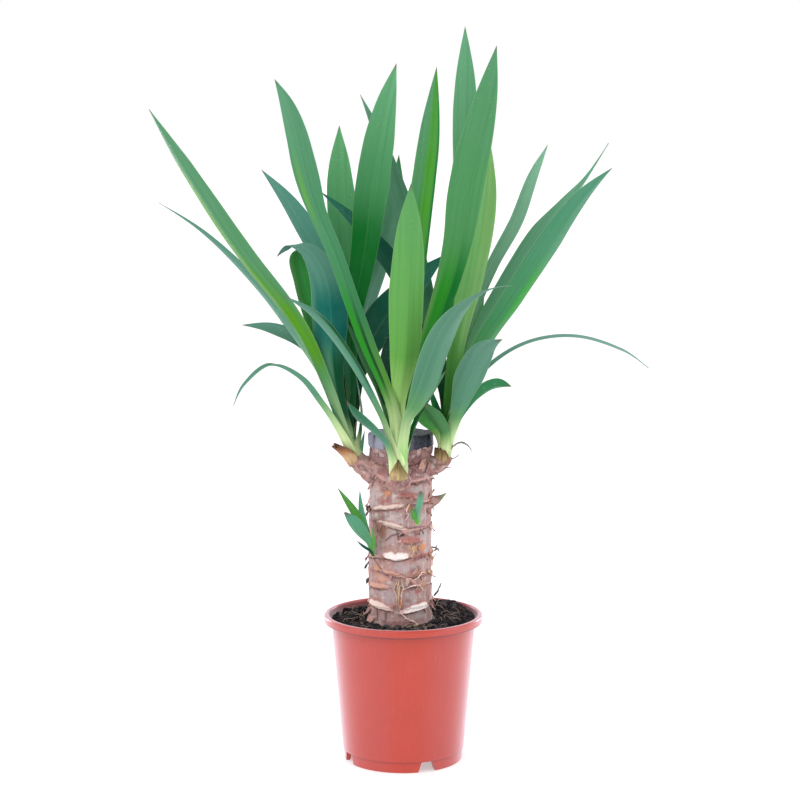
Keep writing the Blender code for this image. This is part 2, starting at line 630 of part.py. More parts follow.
def make_dry_scale(side):
    """A dry scale round a head's base: a curved plate, wide below and narrower above."""
    scale = DRY_SCALES[side]
    head = HEADS[side]
    base = np.array(head["base"], float)
    axis = unit(head["lean"])
    angle = np.radians(scale["azimuth"])
    across = unit(np.cross(axis, [np.cos(angle), np.sin(angle), 0.0]))
    out = np.cross(across, axis)
    shares = np.linspace(0, 1, 6)
    spread = np.linspace(-1, 1, 7)
    inner_radius = head["radius"] + 1.5
    thickness = 1.0
    loops = []
    for share in shares:
        reach = 0.55 + 0.45 * np.sin(np.pi * min(0.5, share))
        reach *= 1 - scale["point"] * max(0.0, (share - 0.35) / 0.65) ** 1.3
        turn = spread * max(np.radians(scale["half_turn"]) * reach, 0.05)
        radius = inner_radius + scale["flare"] * share**2
        middle = base + axis * (scale["low"] + (scale["high"] - scale["low"]) * share)
        ring = [out * np.cos(a) + across * np.sin(a) for a in turn]
        inner = [middle + way * radius for way in ring]
        outer = [middle + way * (radius + thickness) for way in ring]
        loops.append(np.array(inner + outer[::-1]))
    material = make_material("dry_scale_" + side, (0.42, 0.28, 0.14), 0.7)
    faces = split_faces(loft_faces(len(shares), 2 * len(spread)))
    dry_scale = make_object("dry_scale_" + side, np.concatenate(loops), faces, material)
    shade_round(dry_scale, 50)
    return dry_scale


def main():
    clear_scene()
    make_pot()
    make_soil()
    make_cane()
    make_wax_cap()
    for side in HEADS:
        make_head(side)
        make_dry_scale(side)
    for side in SHOOTS:
        make_shoot(side)


main()
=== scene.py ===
# Looks of the potted yucca: pot, soil, bark, wax, leaves and a pale studio
import itertools
import bpy
import numpy as np
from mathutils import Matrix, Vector


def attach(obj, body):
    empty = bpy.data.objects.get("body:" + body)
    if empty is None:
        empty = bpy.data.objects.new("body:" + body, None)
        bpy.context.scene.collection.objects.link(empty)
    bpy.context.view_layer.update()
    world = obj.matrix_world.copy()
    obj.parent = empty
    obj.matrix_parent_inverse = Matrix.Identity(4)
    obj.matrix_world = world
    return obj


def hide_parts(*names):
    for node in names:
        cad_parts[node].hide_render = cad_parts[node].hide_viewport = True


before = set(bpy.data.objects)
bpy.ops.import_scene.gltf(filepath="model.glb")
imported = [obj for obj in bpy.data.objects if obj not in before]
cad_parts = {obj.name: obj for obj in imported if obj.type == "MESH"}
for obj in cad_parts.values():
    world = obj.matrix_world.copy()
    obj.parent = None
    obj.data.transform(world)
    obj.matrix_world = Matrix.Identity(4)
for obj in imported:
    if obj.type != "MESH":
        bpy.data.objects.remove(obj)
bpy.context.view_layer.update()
mm = 0.001


# Numbers from 0 to 1 for the corners of a noise's cells, the same each run
def cellValue(x, y, z, seed):
    wave = np.sin(x * 127.1 + y * 311.7 + z * 74.7 + seed * 53.37) * 43758.5453
    return wave - np.floor(wave)


# Value noise from -1 to 1: the eight corner values of a cell, blended by a smooth step
def noise(points, size, seed=0):
    place = np.asarray(points, float) / size
    cell = np.floor(place)
    blend = place - cell
    blend = blend * blend * (3 - 2 * blend)
    total = 0.0
    for corner in itertools.product((0, 1), repeat=3):
        weight = np.where(corner, blend, 1 - blend)
        weight = weight[..., 0] * weight[..., 1] * weight[..., 2]
        total = total + weight * cellValue(*np.moveaxis(cell + corner, -1, 0), seed)
    return total * 2 - 1


# Noise in octaves, each half as large and half as strong as the one before
def roughNoise(points, size, octaves=3, seed=0):
    shares = 0.5 ** np.arange(octaves)
    layers = [noise(points, size * share, seed + k) * share for k, share in enumerate(shares)]
    return sum(layers) / shares.sum()


def unit(vectors):
    return vectors / np.maximum(np.linalg.norm(vectors, axis=-1, keepdims=True), 1e-12)


def smoothStep(low, high, value):   # 0 below low, 1 above high, smooth between
    share = np.clip((value - low) / (high - low), 0, 1)
    return share * share * (3 - 2 * share)


def mixTo(first, second, share):
    share = np.asarray(share)[..., None]
    return first * (1 - share) + second * share


def paint(red, green, blue):   # a screen colour from 0 to 255 as the shader's linear one
    screen = np.array([red, green, blue]) / 255
    return np.where(screen < 0.04045, screen / 12.92, ((screen + 0.055) / 1.055) ** 2.4)


def paints(**colours):
    return {name: paint(*colour) for name, colour in colours.items()}


def stacked(*parts):   # arrays widened to one shape, side by side on a new last axis
    return np.stack(np.broadcast_arrays(*parts), -1)


def roundTurn(count):   # angles once round
    return np.linspace(0, 2 * np.pi, count, endpoint=False)


def hump(away, half):   # 1 at nought, falling off on both sides like a bell
    return np.exp(-((away / half) ** 2))


def readRows(at, places, rows):   # rows of numbers, read between their places
    return np.stack([np.interp(at, places, column) for column in np.transpose(rows)], -1)


def around(radius, turn, z, middle=0):   # points round an upright axis that stands at x = middle
    return stacked(middle + radius * np.cos(turn), radius * np.sin(turn), z)


# Quads of a grid of rows by columns, closed round the columns
def gridFaces(rows, columns):
    row, column = np.meshgrid(np.arange(rows - 1) * columns, np.arange(columns), indexing="ij")
    after = (column + 1) % columns
    return stacked(row + column, row + after, row + columns + after, row + columns + column).reshape(-1, 4)


# Triangles from a closed loop of points to one point
def fanFaces(start, count, hub):
    here = np.arange(count)
    return stacked(start + here, start + (here + 1) % count, hub)


# A closed shell: rows of closed loops, and a point at each end that the end loop fans to
def closedShell(loops, first, last):
    rows, sides = loops.shape[:2]
    faces = gridFaces(rows, sides).tolist()
    faces += fanFaces(0, sides, rows * sides)[:, ::-1].tolist()
    faces += fanFaces((rows - 1) * sides, sides, rows * sides + 1).tolist()
    return np.vstack([loops.reshape(-1, 3), first, last]), faces


# A thin sheet's two faces joined at their edges, and fanned to a point at both ends
def sheetShell(outer, inner, tip=None):
    loops = np.concatenate([outer, inner[:, ::-1]], 1)
    return closedShell(loops, loops[0].mean(0), loops[-1].mean(0) if tip is None else tip)


def addObject(name, data, where=(0, 0, 0), turned=(0, 0, 0)):
    added = bpy.data.objects.new(name, data)
    added.location, added.rotation_euler = where, turned
    bpy.context.scene.collection.objects.link(added)
    return added


# A finished piece from shells of (points in millimetres, faces, values per point): the values
# become attributes, and the piece stands for the CAD node that is named
def makePiece(name, shells, material, node=None, smooth=True):
    points, parts, values = zip(*shells)
    starts = np.cumsum([0, *map(len, points)]).tolist()
    faces = [[k + start for k in face] for part, start in zip(parts, starts) for face in part]
    mesh = bpy.data.meshes.new(name)
    mesh.from_pydata((np.concatenate(points) * mm).tolist(), [], faces)
    for label in values[0]:
        data = np.concatenate([np.asarray(each[label], float) for each in values])
        if data.ndim == 1:
            mesh.attributes.new(label, "FLOAT", "POINT").data.foreach_set("value", data)
        else:
            full = np.column_stack([data, np.ones(len(data))])
            mesh.attributes.new(label, "FLOAT_COLOR", "POINT").data.foreach_set("color", full.ravel())
    mesh.materials.append(material)
    mesh.polygons.foreach_set("use_smooth", [smooth] * len(mesh.polygons))
    piece = addObject(name, mesh)
    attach(piece, "root")
    if node:
        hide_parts(node)
    return piece


# A smooth line through knots, a cubic with the knots' own slopes, read at shares of its
# length: its points, its directions and its whole length
def smoothLine(knots, shares, firstWay=None):
    knots = np.asarray(knots, float)
    gaps = np.linalg.norm(np.diff(knots[:, :3], axis=0), axis=1)[:, None]
    slopes = np.empty_like(knots)
    slopes[1:-1] = (knots[2:] - knots[:-2]) / (gaps[1:] + gaps[:-1])
    slopes[-1] = 1.5 * (knots[-1] - knots[-2]) / gaps[-1] - 0.5 * slopes[-2]
    slopes[0] = 1.5 * (knots[1] - knots[0]) / gaps[0] - 0.5 * slopes[1]
    if firstWay is not None:
        slopes[0] = np.append(firstWay, np.zeros(knots.shape[1] - 3))
    u = np.linspace(0, 1, 25)[:, None, None]
    dense = (
        (2 * u**3 - 3 * u**2 + 1) * knots[:-1] + (u**3 - 2 * u**2 + u) * gaps * slopes[:-1]
        + (3 * u**2 - 2 * u**3) * knots[1:] + (u**3 - u**2) * gaps * slopes[1:]
    )
    dense = dense.transpose(1, 0, 2).reshape(-1, knots.shape[1])
    run = np.append(0, np.cumsum(np.linalg.norm(np.diff(dense[:, :3], axis=0), axis=1)))

    def read(at):
        return readRows(at * run[-1], run, dense)

    ahead, behind = (read(np.clip(shares + step, 0, 1))[:, :3] for step in (0.01, -0.01))
    return read(shares), unit(ahead - behind), run[-1]


# A round rod along a smooth line of (x, y, z, radius)
def rodShell(knots, rings, sides):
    line, along, length = smoothLine(knots, np.linspace(0, 1, rings))
    helper = (0, 0, 1) if abs(along[rings // 2, 2]) < 0.8 else (1, 0, 0)
    first = unit(np.cross(along, helper))[:, None]
    second = np.cross(along[:, None], first)
    turn = roundTurn(sides)[:, None]
    radius = np.maximum(line[:, None, 3:], 0.05)
    loops = line[:, None, :3] + (first * np.cos(turn) + second * np.sin(turn)) * radius
    return closedShell(loops, line[0, :3], line[-1, :3])


# A material in the making: fields and colours go through its nodes to the shader's sockets
class Surface:
    def __init__(self, name, roughness, specular):
        self.material = bpy.data.materials.new(name)
        self.material.use_nodes = True
        self.tree = self.material.node_tree
        self.shader = self.tree.nodes["Principled BSDF"].inputs
        self.put(self.shader["Roughness"], roughness)
        self.put(self.shader["Specular IOR Level"], specular)

    def put(self, socket, value):   # a link, a number or a colour
        if isinstance(value, bpy.types.NodeSocket):
            self.tree.links.new(value, socket)
        elif socket.type == "RGBA":
            socket.default_value = (*value[:3], 1)
        else:
            socket.default_value = value

    def node(self, kind, *values, settings=(), **inputs):
        node = self.tree.nodes.new(kind)
        for label, value in settings:
            setattr(node, label, value)
        for place, value in (*enumerate(values), *inputs.items()):
            self.put(node.inputs[place], value)
        return node

    def math(self, operation, first, second=0.5):
        return self.node("ShaderNodeMath", first, second, settings=[("operation", operation)]).outputs[0]

    def place(self, stretch=1):   # object coordinates in millimetres, stretched in height
        where = self.node("ShaderNodeTexCoord").outputs["Object"]
        return self.node("ShaderNodeMapping", Vector=where, Scale=(1000, 1000, 1000 * stretch)).outputs["Vector"]

    def noise(self, scale, detail=3, rough=0.55, stretch=1, vector=None):
        vector = vector or self.place(stretch)
        node = self.node("ShaderNodeTexNoise", Vector=vector, Scale=scale, Detail=detail, Roughness=rough)
        return node.outputs["Fac"]

    def read(self, name, output="Fac"):   # a value per point
        return self.node("ShaderNodeAttribute", settings=[("attribute_name", name)]).outputs[output]

    def spread(self, value, *limits):   # from low and high, to low and high
        return self.node("ShaderNodeMapRange", value, *limits).outputs["Result"]

    def mix(self, share, first, second):
        node = self.node("ShaderNodeMix", share, settings=[("data_type", "RGBA")])
        self.put(node.inputs[6], first)
        self.put(node.inputs[7], second)
        return node.outputs[2]

    def layers(self, colour, *rows):   # each: field, its low and high, shares there, colour
        for field, low, high, start, full, tone in rows:
            colour = self.mix(self.spread(field, low, high, start, full), colour, tone)
        return colour

    def done(self, colour, height=None, strength=0, distance=0):   # colour, and a bump from a height
        self.put(self.shader["Base Color"], colour)
        if height:
            bump = self.node("ShaderNodeBump", Height=height, Strength=strength, Distance=distance)
            self.put(self.shader["Normal"], bump.outputs["Normal"])
        return self.material


# Pot

pot = {
    "rimRadius": 70, "rimBand": 6.7, "lipWidth": 4.5, "height": 130.5, "footRadius": 52.3, "footHeight": 9,
    "wall": 1.8, "floor": 2.5, "footRing": 3.8, "notches": 4, "firstNotch": -66.5, "notchLow": 8.4,
    "notchHigh": 5.4, "sides": 480, "bandTurn": 0.09, "bandHalf": 0.33, "innerRows": 32,
    # painted shadow lines under the rim band and over the foot: start, full, still full and end from the edge's
    # height, and how dark
    "shadowUnderRim": (-2.6, -1.2, 0.4, 1.1, 0.85), "shadowOverFoot": (-0.9, -0.2, 0.6, 1.5, 0.36),
    # inside is the dark red of the painted shade on the inner wall and in the lines under the rim and over the
    # foot, and of a faint mottle
    **paints(colour=(183, 63, 54), warm=(187, 57, 38), inside=(96, 30, 40), pale=(226, 150, 138)),
}
pot["rimBottom"] = pot["height"] - pot["rimBand"]
pot["shoulder"] = pot["rimBottom"] - 2
pot["wallTop"] = pot["rimRadius"] - 6.6
pot["wallFoot"] = pot["footRadius"] + 1.4
pot["floorTop"] = pot["footHeight"] + pot["floor"]


def potWall(z):   # outer radius of the tapered wall at a height
    return np.interp(z, [pot["footHeight"], pot["rimBottom"]], [pot["wallFoot"], pot["wallTop"]])


def potInside(z):   # inner radius of the pot at a height
    low, shoulder = pot["floorTop"], pot["shoulder"]
    lip = pot["rimRadius"] - pot["lipWidth"]
    walls = [potWall(at) - pot["wall"] for at in (low, low + 2.5, shoulder)]
    heights = [low, low + 2.5, shoulder, shoulder + 4, pot["height"] - 1.6]
    return np.interp(z, heights, [walls[0] - 2, *walls[1:], lip - 0.9, lip])


# A turned profile of (radius, height), from the floor's underside out over foot, wall and rim and
# back in over the floor, carried round. In a notch the foot ring's height rises.
def makePot():
    rim, top, low, sides = pot["rimRadius"], pot["height"], pot["rimBottom"], pot["sides"]
    foot, footTop, floorTop = pot["footRadius"], pot["footHeight"], pot["floorTop"]
    ringIn = foot - pot["footRing"]
    bend = np.linspace(0, np.pi / 2, 7)
    profile = np.array([
        (20, footTop), (ringIn - 2, footTop), *[(ringIn - 0.4, z) for z in np.linspace(footTop, 2, 14)],
        (ringIn, 0.5), (ringIn + 0.5, 0), (foot - 0.6, 0), (foot - 0.1, 0.4),
        *[(foot + 0.04 * z, z) for z in np.linspace(1.2, footTop - 0.3, 22)],
        (foot + 0.5, footTop + 0.1), (pot["wallFoot"] - 0.1, footTop + 0.3),
        *[(potWall(z), z) for z in np.linspace(footTop + 1.3, low - 0.9, 60)],
        (pot["wallTop"] + 0.1, low - 0.3), (pot["wallTop"] + 0.8, low), (rim - 1.2, low),
        *[(rim - 0.3 + 0.3 * np.sin(a), low + 0.3 - 0.3 * np.cos(a)) for a in bend],
        (rim + 0.05, low + 2.4), (rim, top - 2.6),
        *[(rim - 2.2 + 2.2 * np.cos(a), top - 2.2 + 2.2 * np.sin(a)) for a in bend],
        *[(rim - 3 - 1.5 * np.sin(a), top - 1.5 + 1.5 * np.cos(a)) for a in bend],
        *[(potInside(z), z) for z in np.linspace(top - 2.2, floorTop + 2.5, 30)],
        (potInside(floorTop), floorTop), (20, floorTop),
    ])
    radius, height = profile[:, :1], profile[:, 1:]
    turn = roundTurn(sides)
    step = 360 / pot["notches"]
    off = (np.degrees(turn) - pot["firstNotch"] + step / 2) % step - step / 2
    reach = np.abs(np.radians(off)) * foot
    share = np.clip((pot["notchLow"] - reach) / (pot["notchLow"] - pot["notchHigh"]), 0, 1)
    notchTop = footTop + 0.5
    height = np.maximum(height, np.where(height < notchTop, share * notchTop, height))
    warp = 0.25 * np.sin(2 * turn + 0.7) + 0.12 * np.sin(3 * turn)
    radius = radius + warp * smoothStep(20, 120, height)
    points, faces = closedShell(around(radius, turn, height), [0, 0, footTop], [0, 0, floorTop])
    inner = np.arange(len(height)) >= len(height) - pot["innerRows"]
    # painted reflection: a soft upright band at the front is warmer and the sides paler pink, as if the sides
    # showed more of the pale surroundings
    away = np.arctan2(points[:, 0], -points[:, 1]) - pot["bandTurn"]
    values = {
        "innerWall": np.append(np.repeat(inner, sides), [0, 1]),
        "warmBand": np.exp(-((away / pot["bandHalf"]) ** 4)),
    }
    piece = makePiece("potShell", [(points, faces, values)], potPlastic(), "pot")
    piece.data.set_sharp_from_angle(angle=np.radians(40))


def potPlastic():
    plastic = Surface("potPlastic", 0.2, 0.55)
    cloud = plastic.noise(0.03)
    height = plastic.node("ShaderNodeSeparateXYZ", plastic.place()).outputs["Z"]

    def paintedShadowLine(edge, start, full, still, end, most):
        rise = plastic.spread(height, edge + start, edge + full, 0, most)
        return plastic.math("MULTIPLY", rise, plastic.spread(height, edge + still, edge + end, 1, 0))

    # painted shade: thin dark lines under the rim band and at the step over the foot
    lines = plastic.math("MAXIMUM", paintedShadowLine(pot["rimBottom"], *pot["shadowUnderRim"]),
                         paintedShadowLine(pot["footHeight"], *pot["shadowOverFoot"]))
    # painted shade: the inner wall is darkened towards the inside colour
    inner = plastic.math("MULTIPLY", plastic.read("innerWall"), 0.75)
    # painted reflection: the warm colour in the front band, the paler pink towards the sides
    colour = plastic.mix(plastic.read("warmBand"), pot["colour"], pot["warm"])
    colour = plastic.layers(
        colour, (cloud, 0.35, 0.68, 0, 0.07, pot["inside"]),
        (plastic.noise(0.5, stretch=0.1), 0.58, 0.78, 0, 0.06, pot["pale"]),
    )
    # painted shade: the shadow lines and the inner wall take the inside colour
    for share in (lines, inner):
        colour = plastic.mix(share, colour, pot["inside"])
    rough = plastic.math("ADD", plastic.spread(cloud, 0.3, 0.7, 0.19, 0.25), plastic.math("MULTIPLY", inner, 0.5))
    for label, value in (("Roughness", rough), ("Sheen Weight", 0.9), ("Sheen Roughness", 0.42),
                         ("Sheen Tint", (0.93, 0.88, 1))):
        plastic.put(plastic.shader[label], value)
    return plastic.done(colour, plastic.noise(0.9, 4), 0.06, 0.0002)


makePot()
print("pot made")


# Soil

soil = {
    "level": 125, "caneX": -2.5, "hole": 28.35, "sideGap": 0.6, "sides": 300, "rings": 60,
    "crumbs": 2600, "clods": 60, "fibres": 85,
    **paints(dark=(34, 29, 33), light=(98, 88, 90), fibreDark=(84, 72, 68), fibreLight=(168, 150, 136)),
}


# Near level, heaped at the back right, with waves and clods of several sizes
def soilSurface(x, y):
    flat = stacked(x, y, 0)
    heap = 5.6 * np.exp(-((x - 40) ** 2 + (y - 40) ** 2) / 700)
    waves = 0.8 * np.sin(x / 6.3 + 1.1) * np.cos(y / 5.1) + 0.5 * np.sin((x + 2 * y) / 9.7)
    clods = 1.5 * np.maximum(roughNoise(flat, 7, 3, 5), -0.2) + 0.7 * roughNoise(flat, 2.4, 2, 9)
    return soil["level"] + heap + waves + clods


# Rings from the cane's hole out to the wall, then down the wall and under to the hole
def makeSoil():
    sides, under = soil["sides"], pot["floorTop"] + 0.4
    way = around(1, roundTurn(sides), 0)[:, :2]
    inside = way * soil["hole"] + [soil["caneX"], 0]
    outside = way * (potInside(soil["level"]) - soil["sideGap"])
    loops = [stacked(*inside.T, 40)]
    for share in np.linspace(0, 1, soil["rings"]):
        x, y = (inside * (1 - share) + outside * share).T
        loops.append(stacked(x, y, soilSurface(x, y)))
    for z in (loops[-1][:, 2] - 2, 116 + 0 * x, 60 + 0 * x, under + 0 * x):
        loops.append(stacked(*(way.T * (potInside(z) - soil["sideGap"])), z))
    loops.append(stacked(*inside.T, under))
    faces = gridFaces(len(loops) + 1, sides) % (len(loops) * sides)
    makePiece("soilBed", [(np.concatenate(loops), faces.tolist(), {})], soilMaterial(), "soil")


def soilMaterial():
    peat = Surface("peatSoil", 0.92, 0.25)
    spots = peat.noise(0.55, 5, 0.7)
    colour = peat.layers(
        soil["dark"], (spots, 0.45, 0.72, 0, 1, soil["light"]),
        (peat.noise(0.12), 0.4, 0.7, 0, 0.6, soil["dark"] * 0.5),
    )
    return peat.done(colour, spots, 0.8, 0.001)


# Crumbs: copies of a twenty-faced ball, each stretched, turned and dented at random, half
# sunk in the soil; clods are the same at a larger size
def makeCrumbs():
    draw = np.random.default_rng(7)
    gold = (1 + 5**0.5) / 2
    ball = unit(np.array([
        (-1, gold, 0), (1, gold, 0), (-1, -gold, 0), (1, -gold, 0), (0, -1, gold), (0, 1, gold),
        (0, -1, -gold), (0, 1, -gold), (gold, 0, -1), (gold, 0, 1), (-gold, 0, -1), (-gold, 0, 1),
    ]))
    ballFaces = np.array([
        (0, 11, 5), (0, 5, 1), (0, 1, 7), (0, 7, 10), (0, 10, 11), (1, 5, 9), (5, 11, 4), (11, 10, 2),
        (10, 7, 6), (7, 1, 8), (3, 9, 4), (3, 4, 2), (3, 2, 6), (3, 6, 8), (3, 8, 9), (4, 9, 5), (2, 4, 11),
        (6, 2, 10), (8, 6, 7), (9, 8, 1),
    ])
    count = soil["crumbs"]
    size = np.exp(draw.normal(0, 0.45, count)).clip(0.5, 3.6)
    size[:soil["clods"]] = draw.uniform(2.4, 4.2, soil["clods"])
    angle = draw.uniform(0, 2 * np.pi, count)
    edge = potInside(soil["level"]) - soil["sideGap"] - 0.6 - size
    reach = edge * np.sqrt(draw.uniform(0, 1, count))
    heaped = draw.uniform(0, 1, count) < 0.25
    x = np.where(heaped, 40 + draw.normal(0, 9, count), reach * np.cos(angle))
    y = np.where(heaped, 34 + draw.normal(0, 9, count), reach * np.sin(angle))
    clear = (np.hypot(x - soil["caneX"], y) > soil["hole"] + 2.4 + size) & (np.hypot(x, y) < edge)
    x, y, size = x[clear], y[clear], size[clear]
    kept = len(x)
    turn = np.linalg.qr(draw.normal(size=(kept, 3, 3)))[0]
    stretch = draw.uniform(0.6, 1.25, (kept, 1, 3)) * size[:, None, None]
    dents = 1 + draw.uniform(-0.28, 0.28, (kept, len(ball), 1))
    points = np.einsum("nij,nkj->nki", turn, ball * stretch * dents)
    z = np.minimum(soilSurface(x, y) + size * 0.25, pot["height"] + 3 - size)
    points = points + stacked(x, y, z)[:, None]
    flip = np.linalg.det(turn)[:, None, None] < 0
    faces = np.where(flip, ballFaces[:, ::-1], ballFaces) + (np.arange(kept) * len(ball))[:, None, None]
    values = {"crumbLight": np.repeat(draw.uniform(0, 1, kept) ** 3, len(ball))}
    shell = points.reshape(-1, 3), faces.reshape(-1, 3).tolist(), values
    makePiece("soilCrumbs", [shell], crumbMaterial(), smooth=False)


def crumbMaterial():
    crumb = Surface("peatCrumbs", 0.9, 0.25)
    spots = crumb.noise(0.7, 4, 0.7)
    colour = crumb.mix(crumb.read("crumbLight"), soil["dark"] * 0.7, soil["light"])
    colour = crumb.layers(colour, (spots, 0.45, 0.7, 0, 0.6, soil["dark"] * 0.4))
    return crumb.done(colour, spots, 0.8, 0.0008)


# Fibres: thin rods that arch over the soil from one random place to another close by, pushed
# off the wall and off the cane
def makeFibres():
    draw = np.random.default_rng(23)
    wall, middle = potInside(soil["level"]), soil["caneX"]
    shells = []
    for index in range(soil["fibres"]):
        angle = draw.uniform(0, 2 * np.pi)
        reach = draw.uniform(soil["hole"] + 6, wall - 8)
        way = draw.uniform(0, 2 * np.pi)
        length = draw.uniform(5, 17)
        steps = np.linspace(-0.5, 0.5, 5) * length
        arch = 1 - (2 * steps / length) ** 2
        bow = draw.uniform(-0.25, 0.25) * length * arch
        x = reach * np.cos(angle) + steps * np.cos(way) - bow * np.sin(way)
        y = reach * np.sin(angle) + steps * np.sin(way) + bow * np.cos(way)
        pull = np.minimum(1, (wall - 3) / np.hypot(x, y))
        x, y = x * pull, y * pull
        near = np.maximum(np.hypot(x - middle, y), 1)
        shift = np.maximum(soil["hole"] + 3 - near, 0) / near
        x, y = x + (x - middle) * shift, y + y * shift
        z = soilSurface(x, y) + 0.8 + draw.uniform(0.5, 3.2) * arch
        radius = draw.uniform(0.16, 0.42) * np.array([0.6, 1, 1, 0.9, 0.5])
        points, faces = rodShell(stacked(x, y, z, radius), 12, 6)
        shells.append((points, faces, {"fibreLight": np.full(len(points), draw.uniform(0, 1))}))
    fibre = Surface("peatFibres", 0.8, 0.25)
    colour = fibre.mix(fibre.read("fibreLight"), soil["fibreDark"], soil["fibreLight"])
    colour = fibre.layers(colour, (fibre.noise(0.8), 0.45, 0.7, 0, 0.4, soil["dark"]))
    makePiece("soilFibres", shells, fibre.done(colour))


makeSoil()
makeCrumbs()
makeFibres()
print("soil made")


# Cane

cane = {
    "x": -2.5, "radius": 27.8, "foot": 40, "low": 118, "top": 282, "columns": 300, "rows": 305,
    "lip": 0.9, "hollow": 0.5, "crackDepth": 0.9, "footSwell": 1.2,
    # heights where the top starts to crumple and is all crumpled, and where the foot's swell ends
    "crumpled": (253, 259), "footEnds": (122, 134),
    # heights of the leaf scars at the right, back, left and front
    "scars": [
        (141, 138, 141, 140), (157, 152, 156, 158), (168, 166, 172, 170), (186, 184, 183, 184),
        (212, 211, 216, 212), (232, 229, 224, 230), (252, 252, 254, 249), (269, 266, 268, 266),
    ],
    # torn ledges: angle from the front, height of the lower edge, half width in degrees, height of
    # the sloping face, rise to the right, rise of both ends, how far it stands out, tone
    "ledges": [
        (-37, 254.3, 16, 3.5, -3.1, 0, 2.2, "pink"), (35, 252.6, 24, 2.2, 1.1, 0, 1.6, "pink"),
        (12, 239, 20, 5, -1.7, 0, 1.8, "red"), (-27, 228.2, 40, 3.8, 3.1, 0, 3, "cream"),
        (46, 233, 24, 2.2, 0.5, 0, 1.5, "pink"), (-17, 212.7, 33, 3.9, -2.9, 0, 3, "cream"),
        (42, 210.9, 26, 2.2, 1.5, 0, 1.5, "pink"), (20, 199.1, 26, 4.2, 0.2, 0.8, 1.8, "red"),
        (-8, 183.9, 28, 6.4, 0, 3.6, 3.6, "white"), (42, 185.5, 23, 2.2, 1, 0, 1.6, "red"),
        (-16, 170.5, 25, 3, -2.4, 0, 2, "peach"), (36, 168.8, 30, 2.6, 0, 0.6, 1.8, "peach"),
        (-46, 157.8, 26, 4.4, 0, 0.8, 2.2, "peach"), (-44, 140.7, 32, 5.2, -2.6, 0, 3.2, "cream"),
        (30, 138.5, 34, 5.6, 2.6, 0, 3.2, "white"), (-66, 184, 24, 2.4, 1.5, 0, 1.6, "pink"),
        (98, 252, 30, 3, -1.6, 0, 2.4, "cream"), (88, 229.5, 26, 3.4, 2.2, 0, 2.6, "pink"),
        (104, 206, 34, 3.8, -2, 0, 2.8, "cream"), (92, 186.5, 28, 2.8, 1.2, 0.6, 2, "peach"),
        (112, 166, 32, 4.4, 2, 0, 2.8, "white"), (98, 143, 28, 4, -1.8, 0, 2.6, "cream"),
        (160, 257, 28, 2.6, 1.4, 0, 2, "pink"), (170, 234, 34, 4.2, -2.4, 0.8, 3, "cream"),
        (150, 217, 22, 2.6, 1, 0, 1.8, "red"), (176, 197, 30, 3.8, 2.2, 0, 2.8, "cream"),
        (158, 176, 26, 2.8, -1.4, 0, 2, "peach"), (172, 152, 34, 4.6, 1.6, 0, 3, "white"),
        (-126, 246, 30, 3.4, 2, 0, 2.4, "cream"), (-104, 231, 26, 2.6, -1.4, 0, 1.8, "pink"),
        (-132, 214, 34, 4, 1.8, 0, 2.8, "cream"), (-102, 196, 28, 3, -2, 0, 2.2, "peach"),
        (-128, 176, 30, 3.8, 2.4, 0.6, 2.8, "cream"), (-110, 158, 26, 2.8, -1.2, 0, 2, "red"),
        (-120, 139, 34, 4.8, 1.8, 0, 3, "cream"),
    ],
    # patches of another colour: angle, height, half length, half height, tilt, push, tone
    "patches": [
        (-63, 243.4, 4, 8, 0, 0, "grey"), (-19, 202.2, 6.5, 5.5, 0.1, 0, "lilac"),
        (48, 203.9, 8.5, 7.5, 0, 0.2, "grey"), (30, 221.5, 12, 5, 0, 0, "grey"),
        (37, 133.5, 11, 6, 0.1, 0, "grey"), (20, 244, 12, 4, 0.1, 0, "lilac"), (-12, 152, 12, 5.5, 0, 0, "lilac"),
        (10, 177.5, 18, 4, 0, 0, "lilac"), (-33, 166.1, 11, 3.2, 0, 0.3, "peach"),
        (-31, 235.2, 7.5, 2, 0.1, 0, "red"), (-37, 207.5, 4.5, 6.5, 0, -0.4, "brown"),
        (34, 155, 5.5, 2.6, -0.1, -0.3, "red"), (21, 158.4, 7, 3.2, 0, -0.6, "mauve"),
        (-5, 127.6, 17, 3.6, 0, 0.8, "mauve"), (-23, 242.4, 3.4, 3.2, 0.5, 0.3, "orange"),
        (-12, 240.4, 3, 3.8, 0, 0.5, "pale"), (46, 194.2, 5, 4.4, 0.2, 0.4, "orange"),
        (26, 193.4, 4.2, 2.6, 0, 0.4, "yellow"), (-48, 174.5, 3.8, 3.6, 0, 0.2, "orange"),
        (55, 170.5, 3.8, 1.8, 0, 0.4, "orange"), (47, 159.6, 2.6, 3.8, 0.1, 0.2, "orange"),
        (-12, 143, 2.4, 2.8, 0, 1.2, "red"), (15, 230.5, 2.6, 3.2, 0.6, 0, "orange"),
        (-50, 222, 4, 3, 0, 0.8, "pale"), (28, 268, 9, 8, 0, 0, "mauve"), (30, 245.5, 12, 4.6, 0, 0, "grey"),
        (-50, 264, 7, 5, 0.2, 0, "peach"), (4, 205.7, 4.6, 1.6, 0.35, -1.8, "dark"),
        (150, 190, 9, 5, 0, 0, "lilac"), (110, 218, 9, 6, 0, 0, "lilac"), (-150, 200, 9, 6, 0, 0, "grey"),
        (130, 156, 5, 4, 0.2, 0.2, "orange"), (-140, 232, 4, 3.5, 0.2, 0.2, "orange"),
        (-90, 170, 4, 4, 0.2, 0.2, "orange"), (175, 218, 5, 3, 0.2, 0.2, "orange"),
    ],
    # dark cracks as lines of (angle, height)
    "cracks": [
        [(-22, 254), (-15, 245.7)], [(15, 256.6), (11, 250), (6, 246)], [(-8, 254), (-6, 246.5)], [(-55, 182.8),
        (-42, 176.7), (-33, 171.9)], [(-46, 139), (-46, 128)], [(-8, 210), (-3, 201.5)], [(-29, 200.4),
        (-17, 205), (-3, 207.2)], [(-27, 136), (-27, 128)], [(150, 244), (158, 238)], [(-150, 170), (-160, 160)],
    ],
}
